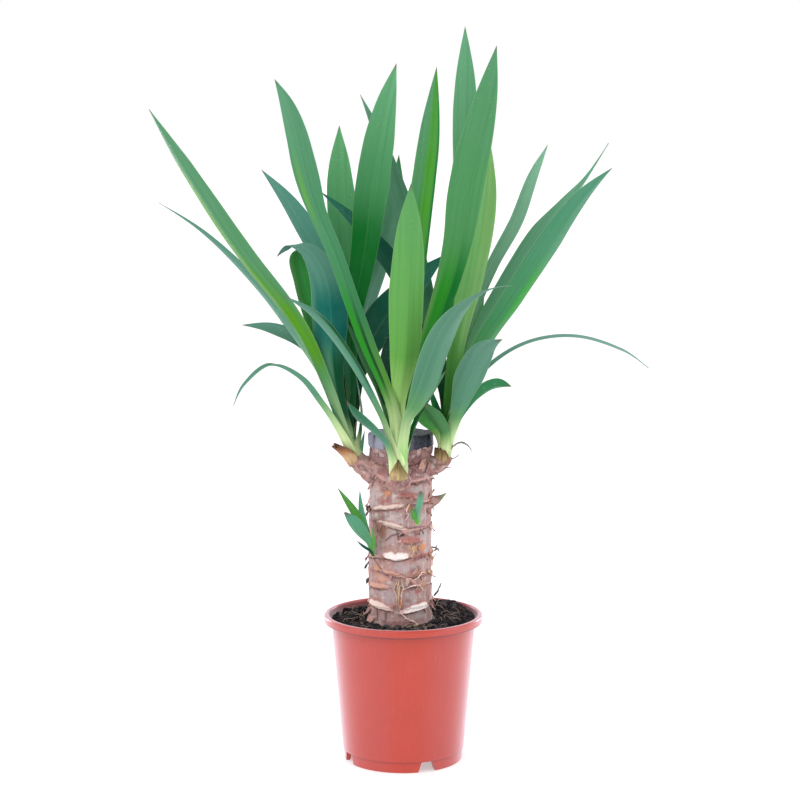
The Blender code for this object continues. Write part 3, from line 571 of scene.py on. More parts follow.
# dark is also the colour of the painted shade in the bark's hollows, cracks and creases
barkTones = paints(
    ground=(172, 138, 133), grey=(176, 168, 168), lilac=(178, 160, 162), mauve=(128, 88, 90),
    red=(170, 106, 100), pink=(208, 164, 158), peach=(204, 154, 136), orange=(214, 140, 90),
    yellow=(210, 176, 130), brown=(160, 108, 92), cream=(236, 212, 202), white=(248, 238, 235),
    pale=(206, 198, 192), dark=(66, 46, 44), bud=(120, 138, 98), tan=(214, 186, 156),
    splinter=(74, 66, 64), hair=(128, 126, 118),
)


def scarHeight(turn, right, back, left, front):   # a closed line round the cane through four heights
    once = (right - left) / 2 * np.cos(turn) + (back - front) / 2 * np.sin(turn)
    twice = (right + left - back - front) / 4 * np.cos(2 * turn)
    return (right + back + left + front) / 4 + once + twice


def onCane(turn, z):   # points on the plain cane, where noise is read
    return around(cane["radius"], turn, z)


def awayFrom(turn, angle):   # turn in radians from an angle in degrees that counts from the front
    return (turn + np.pi / 2 - np.radians(angle) + np.pi) % (2 * np.pi) - np.pi


# Washes of bark tones: each tone's most share, where it starts and is full, and the size, octaves,
# seed, stretch in height and sign of its noise
def wash(tint, points, *washes):
    for tone, most, start, full, size, octaves, seed, stretch, sign in washes:
        share = roughNoise(points * [1, 1, stretch], size, octaves, seed) * sign
        tint = mixTo(tint, barkTones[tone], most * smoothStep(start, full, share))
    return tint


# 1 in the middle of a lens-shaped place on the bark, 0 outside its ragged edge
def patchShare(turn, z, ragged, angle, height, halfLength, halfHeight, tilt):
    away = awayFrom(turn, angle) * cane["radius"]
    rise = z - height - away * tilt
    return 1 - smoothStep(0.35, 1.15, np.sqrt((away / halfLength) ** 2 + (rise / halfHeight) ** 2) * ragged)


# 1 on a line of points on the bark, falling off within half a millimetre
def crackShare(turn, z, line):
    nearest = np.full(z.shape, 1e6)
    for first, last in zip(line[:-1], line[1:]):
        x = awayFrom(turn, first[0]) * cane["radius"]
        stepX = np.radians(last[0] - first[0]) * cane["radius"]
        stepZ = last[1] - first[1]
        share = np.clip((x * stepX + (z - first[1]) * stepZ) / (stepX**2 + stepZ**2), 0, 1)
        nearest = np.minimum(nearest, (x - share * stepX) ** 2 + (z - first[1] - share * stepZ) ** 2)
    return np.exp(-nearest / 0.45)


# Radius of the bark and its tint at each angle and height. At a scar the old leaf's torn base stands proud by a
# small lip, with painted shade in the hollow just above it. A ledge is a pale face that slopes out and down to a
# ragged edge, widest in its middle, with a painted shadow below it as under an undercut. Patches, cracks and
# lumps come on top, with painted shade in the cracks and in the crumpled top's creases.
def barkField(turn, z):
    turn, z = np.broadcast_arrays(turn, z)
    here = onCane(turn, z)
    flat = here * [1, 1, 0.15]
    ragged = noise(flat, 4.5, 3) + 0.5 * noise(flat, 1.5, 4)
    tint = wash(
        barkTones["ground"], here,
        ("lilac", 1, -0.1, 0.6, 11, 2, 41, 1, 1), ("mauve", 0.55, 0, 0.6, 6, 3, 43, 1.3, 1),
        ("mauve", 0.35, 0.05, 0.6, 2.2, 2, 45, 0.1, 1), ("cream", 0.3, 0.1, 0.7, 2.2, 2, 45, 0.1, -1),
        ("pale", 0.55, 0.28, 0.5, 3.4, 3, 47, 1.5, 1), ("brown", 0.5, 0.25, 0.5, 3.4, 3, 47, 1.5, -1),
    )
    push, dark = np.zeros_like(z), np.zeros_like(z)

    # Scars, with painted shade in the hollow just above each lip
    strength = smoothStep(-0.5, 0.5, noise(here * [1, 1, 0.05], 12, 6))
    for heights in cane["scars"]:
        above = z - scarHeight(turn, *heights) - ragged
        push = push + cane["lip"] * strength * np.where(above <= 0, np.exp(above / 3.5), 0)
        push = push - cane["hollow"] * np.where(above > 0, np.exp(-above / 1.4), 0)
        dark = np.maximum(dark, 0.7 * strength * hump(above - 0.4, 0.6))
        tint = mixTo(tint, barkTones["red"], 0.4 * strength * hump(above + 1.2, 1.3))

    # Patches
    raggedness = 1.1 + 0.9 * roughNoise(here, 2.4, 2, 31)
    for *place, raised, tone in cane["patches"]:
        share = patchShare(turn, z, raggedness, *place)
        tint = mixTo(tint, barkTones[tone], share * (0.7 if tone in ("lilac", "grey", "mauve") else 0.85))
        push = push + raised * share

    # Ledges, with a painted shadow below each lower edge
    grain = 0.12 * smoothStep(0, 0.8, noise(here, 1.3, 51)) + 0.25 * smoothStep(0.3, 0.9, noise(here, 4, 52))
    uneven = 1 + 0.16 * noise(flat, 2.6, 8)
    bare = 0.3 * noise(flat, 1.2, 53)
    for angle, height, halfWidth, face, rise, ends, depth, tone in cane["ledges"]:
        away = awayFrom(turn, angle) / np.radians(halfWidth)
        inside = np.clip(1 - away**2, 0, 1)
        above = z - (height + rise * away + ends * away**2 + 0.55 * ragged)
        share = above / np.maximum(face * np.sqrt(inside) * uneven, 0.3)
        slope = np.where(above >= 0, np.clip(1 - share, 0, 1), np.exp(np.minimum(above, 0) / 0.45))
        push = push + depth * inside**0.7 * slope
        lit = smoothStep(-0.12, 0.02, share) * (1 - smoothStep(0.75, 1.05, share)) * smoothStep(0, 0.12, inside)
        bright = mixTo(barkTones["pink"], barkTones[tone], smoothStep(0.15, 0.65, inside + bare))
        tint = mixTo(tint, mixTo(bright, barkTones["peach"], grain), 0.92 * lit)
        tint = mixTo(tint, barkTones["red"], 0.6 * inside**0.5 * hump(share - 1.12, 0.14))
        dark = np.maximum(dark, inside**0.5 * hump(above + 1.3, 0.75))

    # Cracks, the crumpled top below the wax, lumps, and a wider foot in the soil; painted shade in the cracks and
    # creases
    for line in cane["cracks"]:
        share = crackShare(turn, z, line)
        dark = np.maximum(dark, share)
        push = push - cane["crackDepth"] * share
    crumpled = smoothStep(*cane["crumpled"], z)
    fold = roughNoise(here * [1, 1, 1.3], 5.5, 2, 57)
    crease = crumpled * hump(fold, 0.085)
    push = push + 1.1 * crumpled * fold - 0.8 * crease
    dark = np.maximum(dark, 0.85 * crease)
    tint = mixTo(tint, barkTones["mauve"], 0.75 * smoothStep(255, 262, z) * smoothStep(-0.3, 0.4, fold))
    rough = 1 + 1.6 * smoothStep(252, 262, z)
    push = push + 0.35 * rough * roughNoise(here, 8, 3, 11) + 0.16 * roughNoise(here, 1.8, 2, 15)
    push = push + 0.12 * noise(here * [1, 1, 0.12], 1, 17)
    push = push + cane["footSwell"] * (1 - smoothStep(*cane["footEnds"], z)) * (1 + noise(flat, 9, 19))
    # painted shade: the dark share from scars, ledges, cracks and creases darkens the tint
    tint = mixTo(tint, barkTones["dark"], 0.72 * np.clip(dark, 0, 1))
    swell = 0.5 * np.sin(z / 37 + turn) + 0.3 * np.sin(2 * turn + z / 23) - 0.3
    return cane["radius"] + swell + push, tint


# Rows from the hidden foot up to the cut top, columns round the cane
def makeTrunk():
    foot, low, top, plain = cane["foot"], cane["low"], cane["top"], cane["radius"]
    turn = roundTurn(cane["columns"])
    z = np.append([foot, foot + 0.5], np.linspace(low, top, cane["rows"]))[:, None]
    radius, tint = barkField(turn, z)
    radius = plain + (radius - plain) * smoothStep(low - 1, low + 5, z)
    loops = around(radius, turn, z, cane["x"])
    points, faces = closedShell(loops, [cane["x"], 0, foot], [cane["x"], 0, top])
    tint = np.vstack([tint.reshape(-1, 3), np.tile(barkTones["ground"], (2, 1))])
    makePiece("caneBark", [(points, faces, {"barkTint": tint})], barkSurface, "cane")


def barkMaterial():
    bark = Surface("caneBark", 0.82, 0.2)
    fibre, fleck = bark.noise(0.9, 4, 0.6, 0.14), bark.noise(0.5, 4, 0.6, 0.8)
    colour = bark.layers(
        bark.read("barkTint", "Color"), (fibre, 0.52, 0.78, 0, 0.28, barkTones["mauve"]),
        (fibre, 0.46, 0.24, 0, 0.25, barkTones["cream"]), (fleck, 0.6, 0.72, 0, 0.35, barkTones["brown"]),
    )
    return bark.done(colour, bark.math("ADD", fibre, fleck), 0.5, 0.0005)


# The stubs that carry the heads, and a bud with a pointed tip on the right
stubs = {
    "left": [(-8, -4, 255, 15), (-20, -4.5, 258.5, 15.8), (-29, -5, 261.5, 12.2), (-36.5, -6, 265.5, 8.8),
             (-41.2, -6, 270.2, 7.6)],
    "front": [(-4, -12, 252, 9), (-4, -23, 253, 10.8), (-4, -31, 254.5, 10.4), (-4, -36.5, 257.2, 9.4),
              (-4, -37.9, 261, 8.8)],
    "right": [(12, -5, 263, 11), (22, -6, 263.5, 9.4), (29, -6.8, 265, 7.8), (33.8, -7, 268.4, 7.2),
              (34.9, -7, 271.8, 7.2)],
    "bud": [(18, -5, 229, 6.6), (25, -6, 232, 5.4), (29, -6.5, 233.5, 3.8), (33, -7.5, 236, 2),
            (37.5, -8.2, 239.5, 0.3)],
}


def makeStubs():
    shells = []
    for seed, (name, line) in enumerate(stubs.items()):
        points, faces, values = barkRod(line, 50, 64, seed)
        if name == "bud":
            values["barkTint"] = mixTo(values["barkTint"], barkTones["bud"], smoothStep(29, 35, points[:, 0]))
        shells.append((points, faces, values))
    makePiece("barkStubs", shells, barkSurface)


# A rod along a line of (x, y, z, radius) with crumpled bark: lumps of two sizes, and creases
# where a slow noise passes through zero, darkened as painted shade
def barkRod(line, rings, sides, seed):
    points, faces = rodShell(line, rings, sides)
    middle = smoothLine(line, np.linspace(0, 1, rings))[0]
    ring = points[:-2]
    away = ring - np.repeat(middle[:, :3], sides, 0)
    size = np.clip(np.linalg.norm(away, axis=1) / 8, 0, 1)
    fold = roughNoise(ring * [1, 1, 1.6], 7, 2, 63 + seed)
    crease = hump(fold, 0.07) * smoothStep(-0.2, 0.3, noise(ring, 6, 71))
    push = (0.9 * fold + 0.45 * roughNoise(ring, 2.6, 2, 64) - 0.7 * crease) * size
    points[:-2] = ring + unit(away) * push[:, None]
    tint = wash(
        barkTones["ground"], points,
        ("mauve", 0.9, -0.3, 0.4, 4, 3, 65, 1, 1), ("pale", 0.5, 0.05, 0.5, 3, 3, 66, 1, 1),
        ("pink", 0.5, 0.1, 0.5, 4, 1, 67, 1, 1), ("red", 0.4, 0.2, 0.6, 3, 1, 69, 1, 1),
    )
    return points, faces, {"barkTint": mixTo(tint, barkTones["dark"], 0.6 * np.append(crease, [0, 0]))}


# Torn bark that stands off the cane: angle and height of the edge that holds, width, length
# (down if negative), how far the free end lifts, shift to the right at the free end, tone
flakes = {
    "placed": [
        (74, 141, 10, -6, 2.8, 2, "mauve"), (84, 146, 8, -4, 2.6, 1, "pink"),
        (-82, 137, 20, -9, 4.6, -3, "mauve"), (-66, 131, 22, -7, 4.2, -2, "pink"),
        (-6, 129, 34, -6, 4.6, 2, "mauve"), (16, 127, 22, -4, 3.6, 3, "pink"), (26, 171, 7, 6, 3, 2, "pink"),
        (14, 168, 6, -7, 3.2, -2, "cream"), (20, 166, 5, -6, 2.6, 3, "peach"), (24, 196, 6, -6, 2.8, 1, "yellow"),
        (34, 195, 5, -5, 3, 2, "orange"), (-40, 216, 9, -7, 2.6, 0, "brown"), (10, 211, 12, -4, 2.4, 0, "pink"),
        (30, 210, 8, -4, 2.2, 1, "mauve"), (66, 236, 7, 7, 3, 2, "peach"), (60, 227, 7, -6, 2.6, 1, "mauve"),
        (-74, 226, 6, -6, 3, -1, "dark"), (-76, 186, 5, -6, 3.2, -1, "mauve"), (66, 187, 6, -5, 2.6, 1, "orange"),
        (-66, 250, 8, -6, 2.4, -1, "pink"), (60, 172, 7, -4, 2.6, 1, "yellow"), (40, 263, 9, 8, 2, 0, "peach"),
        (56, 259, 8, 9, 2.4, 1, "mauve"), (-28, 247, 9, 5, 1.6, 0, "mauve"), (12, 247, 10, 5, 1.8, 0, "pink"),
    ],
    "scattered": 44, "rows": 8, "columns": 7, "thickness": 0.35,
}


# A thin sheet whose held edge lies on the bark: its free end lifts by the power 1.6 of its
# share of the length, and narrows to a ragged tip
def flakeShell(angle, height, width, length, lift, shift, tone, seed):
    columns = flakes["columns"]
    run = np.linspace(0, 1, flakes["rows"])[:, None]
    across = np.linspace(-1, 1, columns)
    ragged = 1 + 0.6 * (cellValue(np.arange(columns), seed, 2, 3) - 0.5) * run
    narrow = 0.8 - 0.65 * run**1.3
    z = height + length * run * ragged
    turn = np.radians(angle) - np.pi / 2 + (across * width / 2 * narrow + shift * run) / cane["radius"]
    out = cane["radius"] + 0.6 + lift * run**1.6 - 0.4 * across**2 * run
    outer, inner = (around(out + side * flakes["thickness"], turn, z, cane["x"]) for side in (1, -1))
    points, faces = sheetShell(outer, inner)
    mixed = barkTones[tone] * 0.55 + barkTones["ground"] * 0.45
    return points, faces, {"barkTint": wash(mixed, points, ("brown", 0.6, -0.2, 0.6, 1.6, 1, seed, 1, 1))}


# The placed flakes, and others scattered at random along the ledges' edges
def makeFlakes():
    draw = np.random.default_rng(11)
    rows = list(flakes["placed"])
    for index in range(flakes["scattered"]):
        angle, height, halfWidth, face, rise, ends, depth, tone = cane["ledges"][index % len(cane["ledges"])]
        off = draw.uniform(-0.9, 0.9)
        sizes = [draw.uniform(*limits) for limits in ((1.6, 4.4), (-4.5, -1.5), (1.2, 2.8), (-1.5, 1.5))]
        tone = ("pink", "mauve", "peach", "brown", "red")[index % 5]
        rows.append((angle + off * halfWidth, height + rise * off + ends * off**2, *sizes, tone))
    makePiece("tornBark", [flakeShell(*row, seed) for seed, row in enumerate(rows)], barkSurface)


# Roots, fibres and dark splinters as thin rods. On the cane a point is (angle from the front,
# height, distance off the bark, radius); in the air it is (x, y, z, radius).
strands = {
    "roots": [
        ("tan", [(-4, 165, 0.6, 0.35), (-2, 158, 1.8, 0.45), (-4, 150, 2.2, 0.45), (-1, 141, 2, 0.3)]),
        ("tan", [(1, 166, 0.5, 0.35), (4, 160, 2.4, 0.45), (1, 152, 2.6, 0.4), (3, 144, 1.8, 0.3)]),
        ("tan", [(-8, 163, 0.8, 0.3), (-11, 158, 1.6, 0.35), (-7, 152, 2, 0.35), (-7, 144, 1.6, 0.3)]),
        ("tan", [(-14, 160, 0.4, 0.3), (-8, 164, 1.6, 0.3), (-4, 158, 2.4, 0.35), (-4, 147, 2.2, 0.3)]),
        ("pink", [(-2, 163, 0.6, 0.3), (-6, 157, 2, 0.35), (2, 150, 2.4, 0.35), (-3, 140, 2, 0.3)]),
        ("orange", [(0, 150, 1.4, 0.5), (1, 146, 1.9, 0.9), (0, 142, 1.6, 0.5)]),
        ("cream", [(3, 157, 0.8, 0.5), (12, 160, 2.6, 0.6), (24, 161.5, 2.6, 0.6), (36, 160, 1.8, 0.5),
         (44, 155, 0.6, 0.4)]),
        ("cream", [(-1, 139, 2.4, 0.5), (8, 133, 2.2, 0.5), (22, 129, 2.6, 0.5), (30, 126, 3, 0.4)]),
        ("yellow", [(30, 126.5, 3.5, 0.5), (10, 125.5, 6, 0.5), (-10, 124.5, 8, 0.5), (-24, 123.5, 9, 0.3)]),
        ("cream", [(50, 170, 0.4, 0.4), (40, 172, 2.2, 0.4), (30, 168, 2.6, 0.4), (22, 165, 1, 0.3)]),
        ("pink", [(16, 168, 1, 0.5), (24, 164, 2.6, 0.6), (30, 160, 2, 0.5), (28, 157, 0.8, 0.3)]),
        ("cream", [(16, 233, 0.6, 0.5), (10, 228, 2.2, 0.5), (13, 223, 1.8, 0.4), (8, 219, 0.6, 0.3)]),
        ("yellow", [(20, 195, 0.5, 0.5), (22, 190, 2, 0.6), (17, 187, 1.6, 0.4)]),
        ("pale", [(60, 138, 1, 0.4), (66, 132, 2.6, 0.4), (72, 127, 3.6, 0.3)]),
        ("tan", [(150, 150, 0.6, 0.7), (154, 142, 2.4, 0.8), (150, 132, 2.6, 0.6), (156, 125, 4, 0.4)]),
        ("tan", [(-140, 160, 0.6, 0.6), (-136, 150, 2.4, 0.7), (-140, 138, 2.2, 0.5), (-134, 126, 3.6, 0.4)]),
        ("cream", [(100, 172, 0.6, 0.5), (112, 176, 2.4, 0.6), (124, 172, 2, 0.5), (130, 164, 0.6, 0.3)]),
    ],
    "splinter": [
        [(-29, -4, 179, 0.9), (-31.5, -4.5, 176, 0.7), (-33.5, -5, 173, 1.1), (-33.8, -5, 171, 0.2)],
        [(-28, -3, 163, 1.2), (-31.5, -3.5, 161, 1.4), (-32.2, -3.5, 157.5, 0.3)],
        [(-28, -3, 227, 1.2), (-31.4, -3, 225.5, 1.5), (-31, -3, 221, 0.3)],
        [(25, -4, 191, 0.8), (28.5, -4, 190, 0.7), (30, -4, 192.5, 0.4)],
        [(27, -4, 187, 0.5), (30, -4, 189, 0.9), (31.6, -4, 186.5, 0.3)],
        [(25, -4, 180, 0.5), (27.5, -4, 183, 0.4), (29, -4, 185, 0.3)],
        [(25, -4, 256, 0.9), (29, -4, 256.5, 1.3), (30.6, -4, 255.6, 0.3)],
        [(27, -6, 147, 0.7), (30.5, -6, 152, 0.9), (33.2, -6, 159.5, 0.4)],
        [(-27, 6, 199, 0.7), (-30.5, 8, 201, 0.8), (-32, 9, 204, 0.3)],
        [(10, 27, 210, 0.8), (11, 30, 212, 0.9), (11.5, 31.6, 216, 0.3)],
        [(-14, 26, 170, 0.8), (-15, 29.5, 168, 0.9), (-16, 31, 163, 0.3)],
    ],
    "hair": [
        [(24, -6, 261.5, 0.7), (30, -8, 261.6, 0.7), (36, -10, 262, 0.6), (41.5, -11, 262.8, 0.3)],
        [(38.5, -8, 271, 0.4), (40, -9, 276, 0.5), (43.5, -10, 281, 0.8), (48, -11, 284.5, 0.9),
         (54, -12, 284, 0.8), (60, -13, 277.5, 0.3)],
        [(41, -9, 270, 0.4), (45, -11, 271.5, 0.4), (49, -12, 275, 0.3)],
        [(-26, -4, 252, 0.5), (-29.5, -5, 250, 0.4), (-31, -5, 247, 0.2)],
    ],
}


def offCane(points):   # points on the cane as places in the air
    angle, z, off, radius = np.array(points, float).T
    place = around(cane["radius"] + off, np.radians(angle) - np.pi / 2, z, cane["x"])
    return np.column_stack([place, radius])


def makeStrands():
    lines = [(tone, offCane(points)) for tone, points in strands["roots"]]
    lines += [(tone, points) for tone in ("splinter", "hair") for points in strands[tone]]
    shells = []
    for tone, line in lines:
        points, faces = rodShell(line, 26, 8)
        points = points + 0.45 * stacked(*(noise(points, 2, seed) for seed in (81, 82, 83)))
        shells.append((points, faces, {
            "barkTint": wash(barkTones[tone], points, ("brown", 0.3, 0, 0.6, 3, 1, 85, 1, 1)),
        }))
    makePiece("rootsAndFibres", shells, barkSurface)


barkSurface = barkMaterial()
makeTrunk()
makeStubs()
makeFlakes()
makeStrands()
print("cane made")


# Wax cap on the cut top

wax = {
    "low": 281.4, "top": 292.4, "radius": 28.7, "columns": 220, "rows": 26, "wallRows": 16, "rounding": 2.6,
    **paints(dark=(22, 27, 36), scuffed=(156, 156, 176), slate=(52, 54, 68)),
}


# Side wall up from a ragged lower edge, a quarter round at the shoulder, then in to the middle
def makeWax():
    outer, rounding, top, rows = wax["radius"], wax["rounding"], wax["top"], wax["wallRows"]
    shoulder = top - rounding
    turn = roundTurn(wax["columns"])
    here = onCane(turn, 0)
    edge = wax["low"] - 5 * np.maximum(roughNoise(here, 8, 3, 91), -0.1)
    edge = edge - 1.2 * np.maximum(noise(here, 2.4, 92), 0)
    share = np.linspace(0, 1, wax["rows"])[:, None]
    bend = share * np.pi / 2
    radius = np.vstack([
        [[outer - 1.6]], np.full((rows, 1), outer), outer - rounding * (1 - np.cos(bend)),
        (outer - rounding) * (1 - share[1:] * 0.98),
    ])
    z = np.vstack([
        edge + 0.3, edge + (shoulder - edge) * np.linspace(0, 1, rows)[:, None],
        shoulder + rounding * np.sin(bend) + 0 * turn, top + 0 * share[1:] * turn,
    ])
    level = around(radius, turn, z)
    bumps = 0.85 * roughNoise(level, 6, 3, 93) + 0.3 * roughNoise(level, 1.6, 2, 95)
    radius = radius + bumps * smoothStep(4, 16, radius)
    z = np.minimum(z + 0.8 * bumps * (z > shoulder), top + 0.5)
    middle = cane["x"]
    loops = around(radius, turn, z, middle)
    points, faces = closedShell(loops, [middle, 0, wax["low"] + 1.5], [middle, 0, top])
    angle = np.arctan2(points[:, 1], points[:, 0] - middle)
    # painted sheen: the wax lighter towards the front left, broken into patches
    patchy = smoothStep(-0.6, 0.4, roughNoise(points * [1, 1, 0.3], 5, 3, 97))
    values = {"scuff": smoothStep(-0.2, 0.7, -np.cos(angle - 0.5)) * patchy}
    makePiece("waxCap", [(points, faces, values)], waxMaterial(), "wax_cap")


def waxMaterial():
    seal = Surface("sealingWax", 0.45, 0.2)
    cloud, scratch = seal.noise(0.16, 4, 0.6), seal.noise(0.7, 4, 0.6, 0.2)
    colour = seal.layers(
        wax["dark"], (cloud, 0.42, 0.68, 0, 1, wax["slate"]), (scratch, 0.6, 0.74, 0, 0.35, wax["scuffed"]),
    )
    # painted sheen on the front left side, in the colour of the scratches
    colour = seal.mix(seal.math("MULTIPLY", seal.read("scuff"), 0.85), colour, wax["scuffed"])
    seal.put(seal.shader["Roughness"], seal.spread(cloud, 0.3, 0.7, 0.42, 0.65))
    return seal.done(colour, scratch, 0.4, 0.0004)


makeWax()
print("wax made")


# Leaves

# the darker paints of leaves deep inside the heads hold painted shade as well as the leaves' own green
leafPaint = {   # colour low on the blade, half way and near the tip
    "mid": ((64, 134, 52), (70, 138, 74), (84, 144, 102)),
    "midLight": ((70, 142, 56), (84, 148, 94), (98, 158, 120)),
    "paleMid": ((88, 150, 96), (92, 152, 114), (104, 158, 130)),
    "deep": ((84, 146, 66), (32, 110, 62), (44, 122, 76)),
    "deepInner": ((24, 88, 60), (132, 178, 162), (56, 124, 78)),
    "shadow": ((16, 78, 50), (6, 62, 46), (10, 70, 54)),
    "deepGrey": ((34, 98, 62), (78, 136, 108), (100, 144, 122)),
    "deepLow": ((40, 104, 62), (18, 114, 46), (102, 166, 120)),
    "teal": ((98, 152, 108), (44, 120, 100), (98, 142, 128)),
    "tealDeep": ((48, 112, 78), (62, 134, 112), (92, 146, 132)),
    "tealEnd": ((120, 164, 112), (86, 138, 114), (22, 92, 62)),
    "darkTeal": ((20, 86, 46), (4, 70, 54), (34, 104, 88)),
    "grey": ((112, 160, 106), (82, 138, 110), (84, 132, 116)),
    "greyDeep": ((122, 166, 98), (78, 130, 80), (56, 110, 66)),
    "silver": ((110, 158, 120), (110, 156, 142), (120, 160, 148)),
    "blueGrey": ((92, 146, 92), (80, 132, 104), (94, 136, 122)),
    "pale": ((132, 176, 122), (98, 146, 124), (84, 132, 116)),
    "silverPale": ((112, 158, 118), (126, 170, 144), (132, 184, 156)),
    "light": ((34, 104, 50), (60, 136, 80), (100, 166, 114)),
    "lightRib": ((70, 136, 50), (122, 188, 104), (136, 198, 130)),
    "fresh": ((160, 204, 116), (98, 162, 70), (90, 154, 92)),
    "lime": ((92, 150, 104), (76, 134, 86), (84, 138, 104)),
    "limeDeep": ((92, 152, 58), (54, 124, 76), (90, 146, 112)),
    "fadeDark": ((112, 168, 108), (84, 144, 86), (20, 94, 52)),
    "bright": ((98, 180, 74), (66, 184, 70), (84, 172, 100)),
    "greyGreen": ((84, 146, 84), (62, 130, 82), (76, 138, 112)),
    "brightLow": ((120, 166, 84), (74, 146, 70), (50, 134, 56)),
    "shootBlue": ((104, 172, 76), (84, 146, 106), (82, 148, 124)),
    "shootTeal": ((96, 170, 64), (102, 156, 126), (108, 158, 138)),
    "shootGreen": ((112, 178, 70), (84, 156, 62), (88, 158, 76)),
}
# the lime stripes are painted light: yellow-green where light shines through the blade
leafStripe = {
    "lime": (78, 140, 8), "limeFaint": (92, 150, 66), "olive": (66, 144, 40), "emerald": (0, 108, 34),
    "bright": (34, 140, 26), "darkGreen": (0, 66, 28), "leafLight": (76, 166, 76), "deepTeal": (0, 100, 94),
    "greyTeal": (88, 146, 114), "darkLow": (16, 82, 52), "leafMid": (44, 142, 52),
    "sheath": (206, 230, 166), "sheathGreen": (150, 202, 122), "paleRib": (138, 192, 116),
}
leafBase = paint(214, 232, 172)
leafForm = {
    "low": 0.5, "climb": 20, "spread": 0.92, "narrowing": 0.62, "rootWidth": 2.3, "clasp": 1.35,
    "sheath": 36, "thickness": 1, "rows": 96, "columns": 19, "pale": 24, "ripple": 0.03,
    # how far each half folds up, in degrees: at the tip, more lower down, and more again at the root
    "fold": 14, "foldLow": 12, "foldRoot": 34, "foldReach": 0.13,
    # least clasp, power of the dish across, edge's share of the thickness, the rib's height and half width
    "endClasp": 0.25, "dish": 1.25, "edge": 0.22, "rib": 0.25, "ribHalf": 0.07,
}

# Each leaf: azimuth where it leaves its head, twist half way and at the tip, rank from
# outermost 0 to innermost 1, its paint, then its course as (x, y, z, width) to the tip
headLeft = {
    "base": (-41.5, -6, 270.7), "lean": (-0.35, 0, 1), "radius": 7.4, "shade": 1.5,
    "small": [((-37.5, -6, 267), 2.2, (
        -40, (0, 0), 0, "grey", [(-36, -7, 277, 5), (-35, -6, 286, 4), (-34, -5, 294, 0)]))],
    "leaves": [
        (-150, (15, 15), 0.35, "lime", [(-65, -14, 329, 20), (-92, -16, 388, 24), (-140, -15, 452, 27),
         (-185, -8, 519, 20), (-219, 0, 573, 0)], ("lime", 0, 1.1, 0.22, 0.36), ("lime", -0.5, 0.6, 0.31, 0.45),
         ("lime", -0.9, 0.1, 0.4, 0.56), ("limeFaint", -1.1, -0.3, 0.54, 0.84)),
        (-172, (30, 60), 0.3, "pale", [(-62, -4, 324, 18), (-87, 1, 368, 24), (-126, 8, 419, 13),
         (-172, 17, 464, 5), (-215, 24, 492, 0)]),
        (165, (-60, -60), 0.1, "pale", [(-56, 4, 314, 12), (-65, 9, 338, 12), (-84, 15, 367, 14),
         (-114, 21, 381, 11), (-143, 26, 384, 0)]),
        (-140, (0, 0), 0, "grey", [(-59, -16, 300, 13), (-72, -20, 321, 12), (-90, -25, 344, 12),
         (-114, -29, 355, 9), (-136, -33, 339, 5), (-146, -36, 320, 0)]),
        (140, (-10, 0), 0.5, "bright", [(-55, 10, 317, 16), (-67, 16, 346, 20), (-79, 24, 385, 23),
         (-90, 29, 423, 22), (-93, 27, 447, 20), (-76, 18, 456, 0)], ("leafLight", 0, 1.1, 0.4, 1.1)),
        (-70, (-10, -10), 0.4, "teal", [(-54, -14, 311, 15), (-60, -15, 337, 20), (-63, -15, 365, 28),
         (-63, -16, 397, 33), (-68, -15, 430, 28), (-82, -12, 452, 16), (-98, -10, 455.5, 9),
         (-109.5, -10, 446, 0)], ("greyTeal", -1.1, -0.05, 0.14, 0.42), ("darkLow", 0, 1.1, 0.1, 0.42),
         ("deepTeal", -0.8, 1.1, 0.45, 0.66)),
        (170, (-30, -30), 0.55, "tealDeep", [(-49, 0, 327, 18), (-53, 4, 374, 24), (-67, 9, 432, 31),
         (-95, 13, 484, 24), (-124, 16, 521, 0)]),
        (30, (50, 40), 0.5, "darkTeal", [(-41, 6, 311, 12), (-38, 11, 345, 15), (-20, 20, 386, 33),
         (9, 30, 419, 24), (38, 36, 446, 0)]),
        (60, (15, 15), 0.75, "deepInner", [(-44, 23, 324, 14), (-41, 42, 371, 15), (-24, 60, 427, 18),
         (-8, 68, 485, 19), (-4, 74, 533, 0)]),
        (100, (0, 0), 0.85, "light", [(-48, 20, 327, 14), (-49, 35, 378, 18), (-53, 55, 442, 24),
         (-57, 78, 507, 25), (-58, 96, 559, 0)]),
        (80, (5, 5), 0.9, "deepLow", [(-47, 5, 328, 15), (-46, 8, 381, 16), (-35, 11, 444, 24),
         (-27, 13, 506, 31), (-17, 13, 567, 22), (-6, 14, 612, 0)], ("emerald", -1.1, 1.1, 0.28, 0.6)),
        (0, (0, 0), 0.2, "darkTeal", [(-37, -4, 296, 10), (-36.5, -3, 311, 9), (-39, -2, 328, 5),
         (-42, 0, 345, 0)]),
        (120, (0, 0), 0.2, "mid", [(-52, 28, 317, 16), (-62, 66, 373, 24), (-74, 96, 427, 20),
         (-82, 112, 467, 0)]),
        (150, (0, 0), 0.15, "mid", [(-60, 22, 309, 15), (-76, 54, 345, 20), (-88, 84, 363, 15),
         (-98, 108, 363, 0)]),
    ],
}
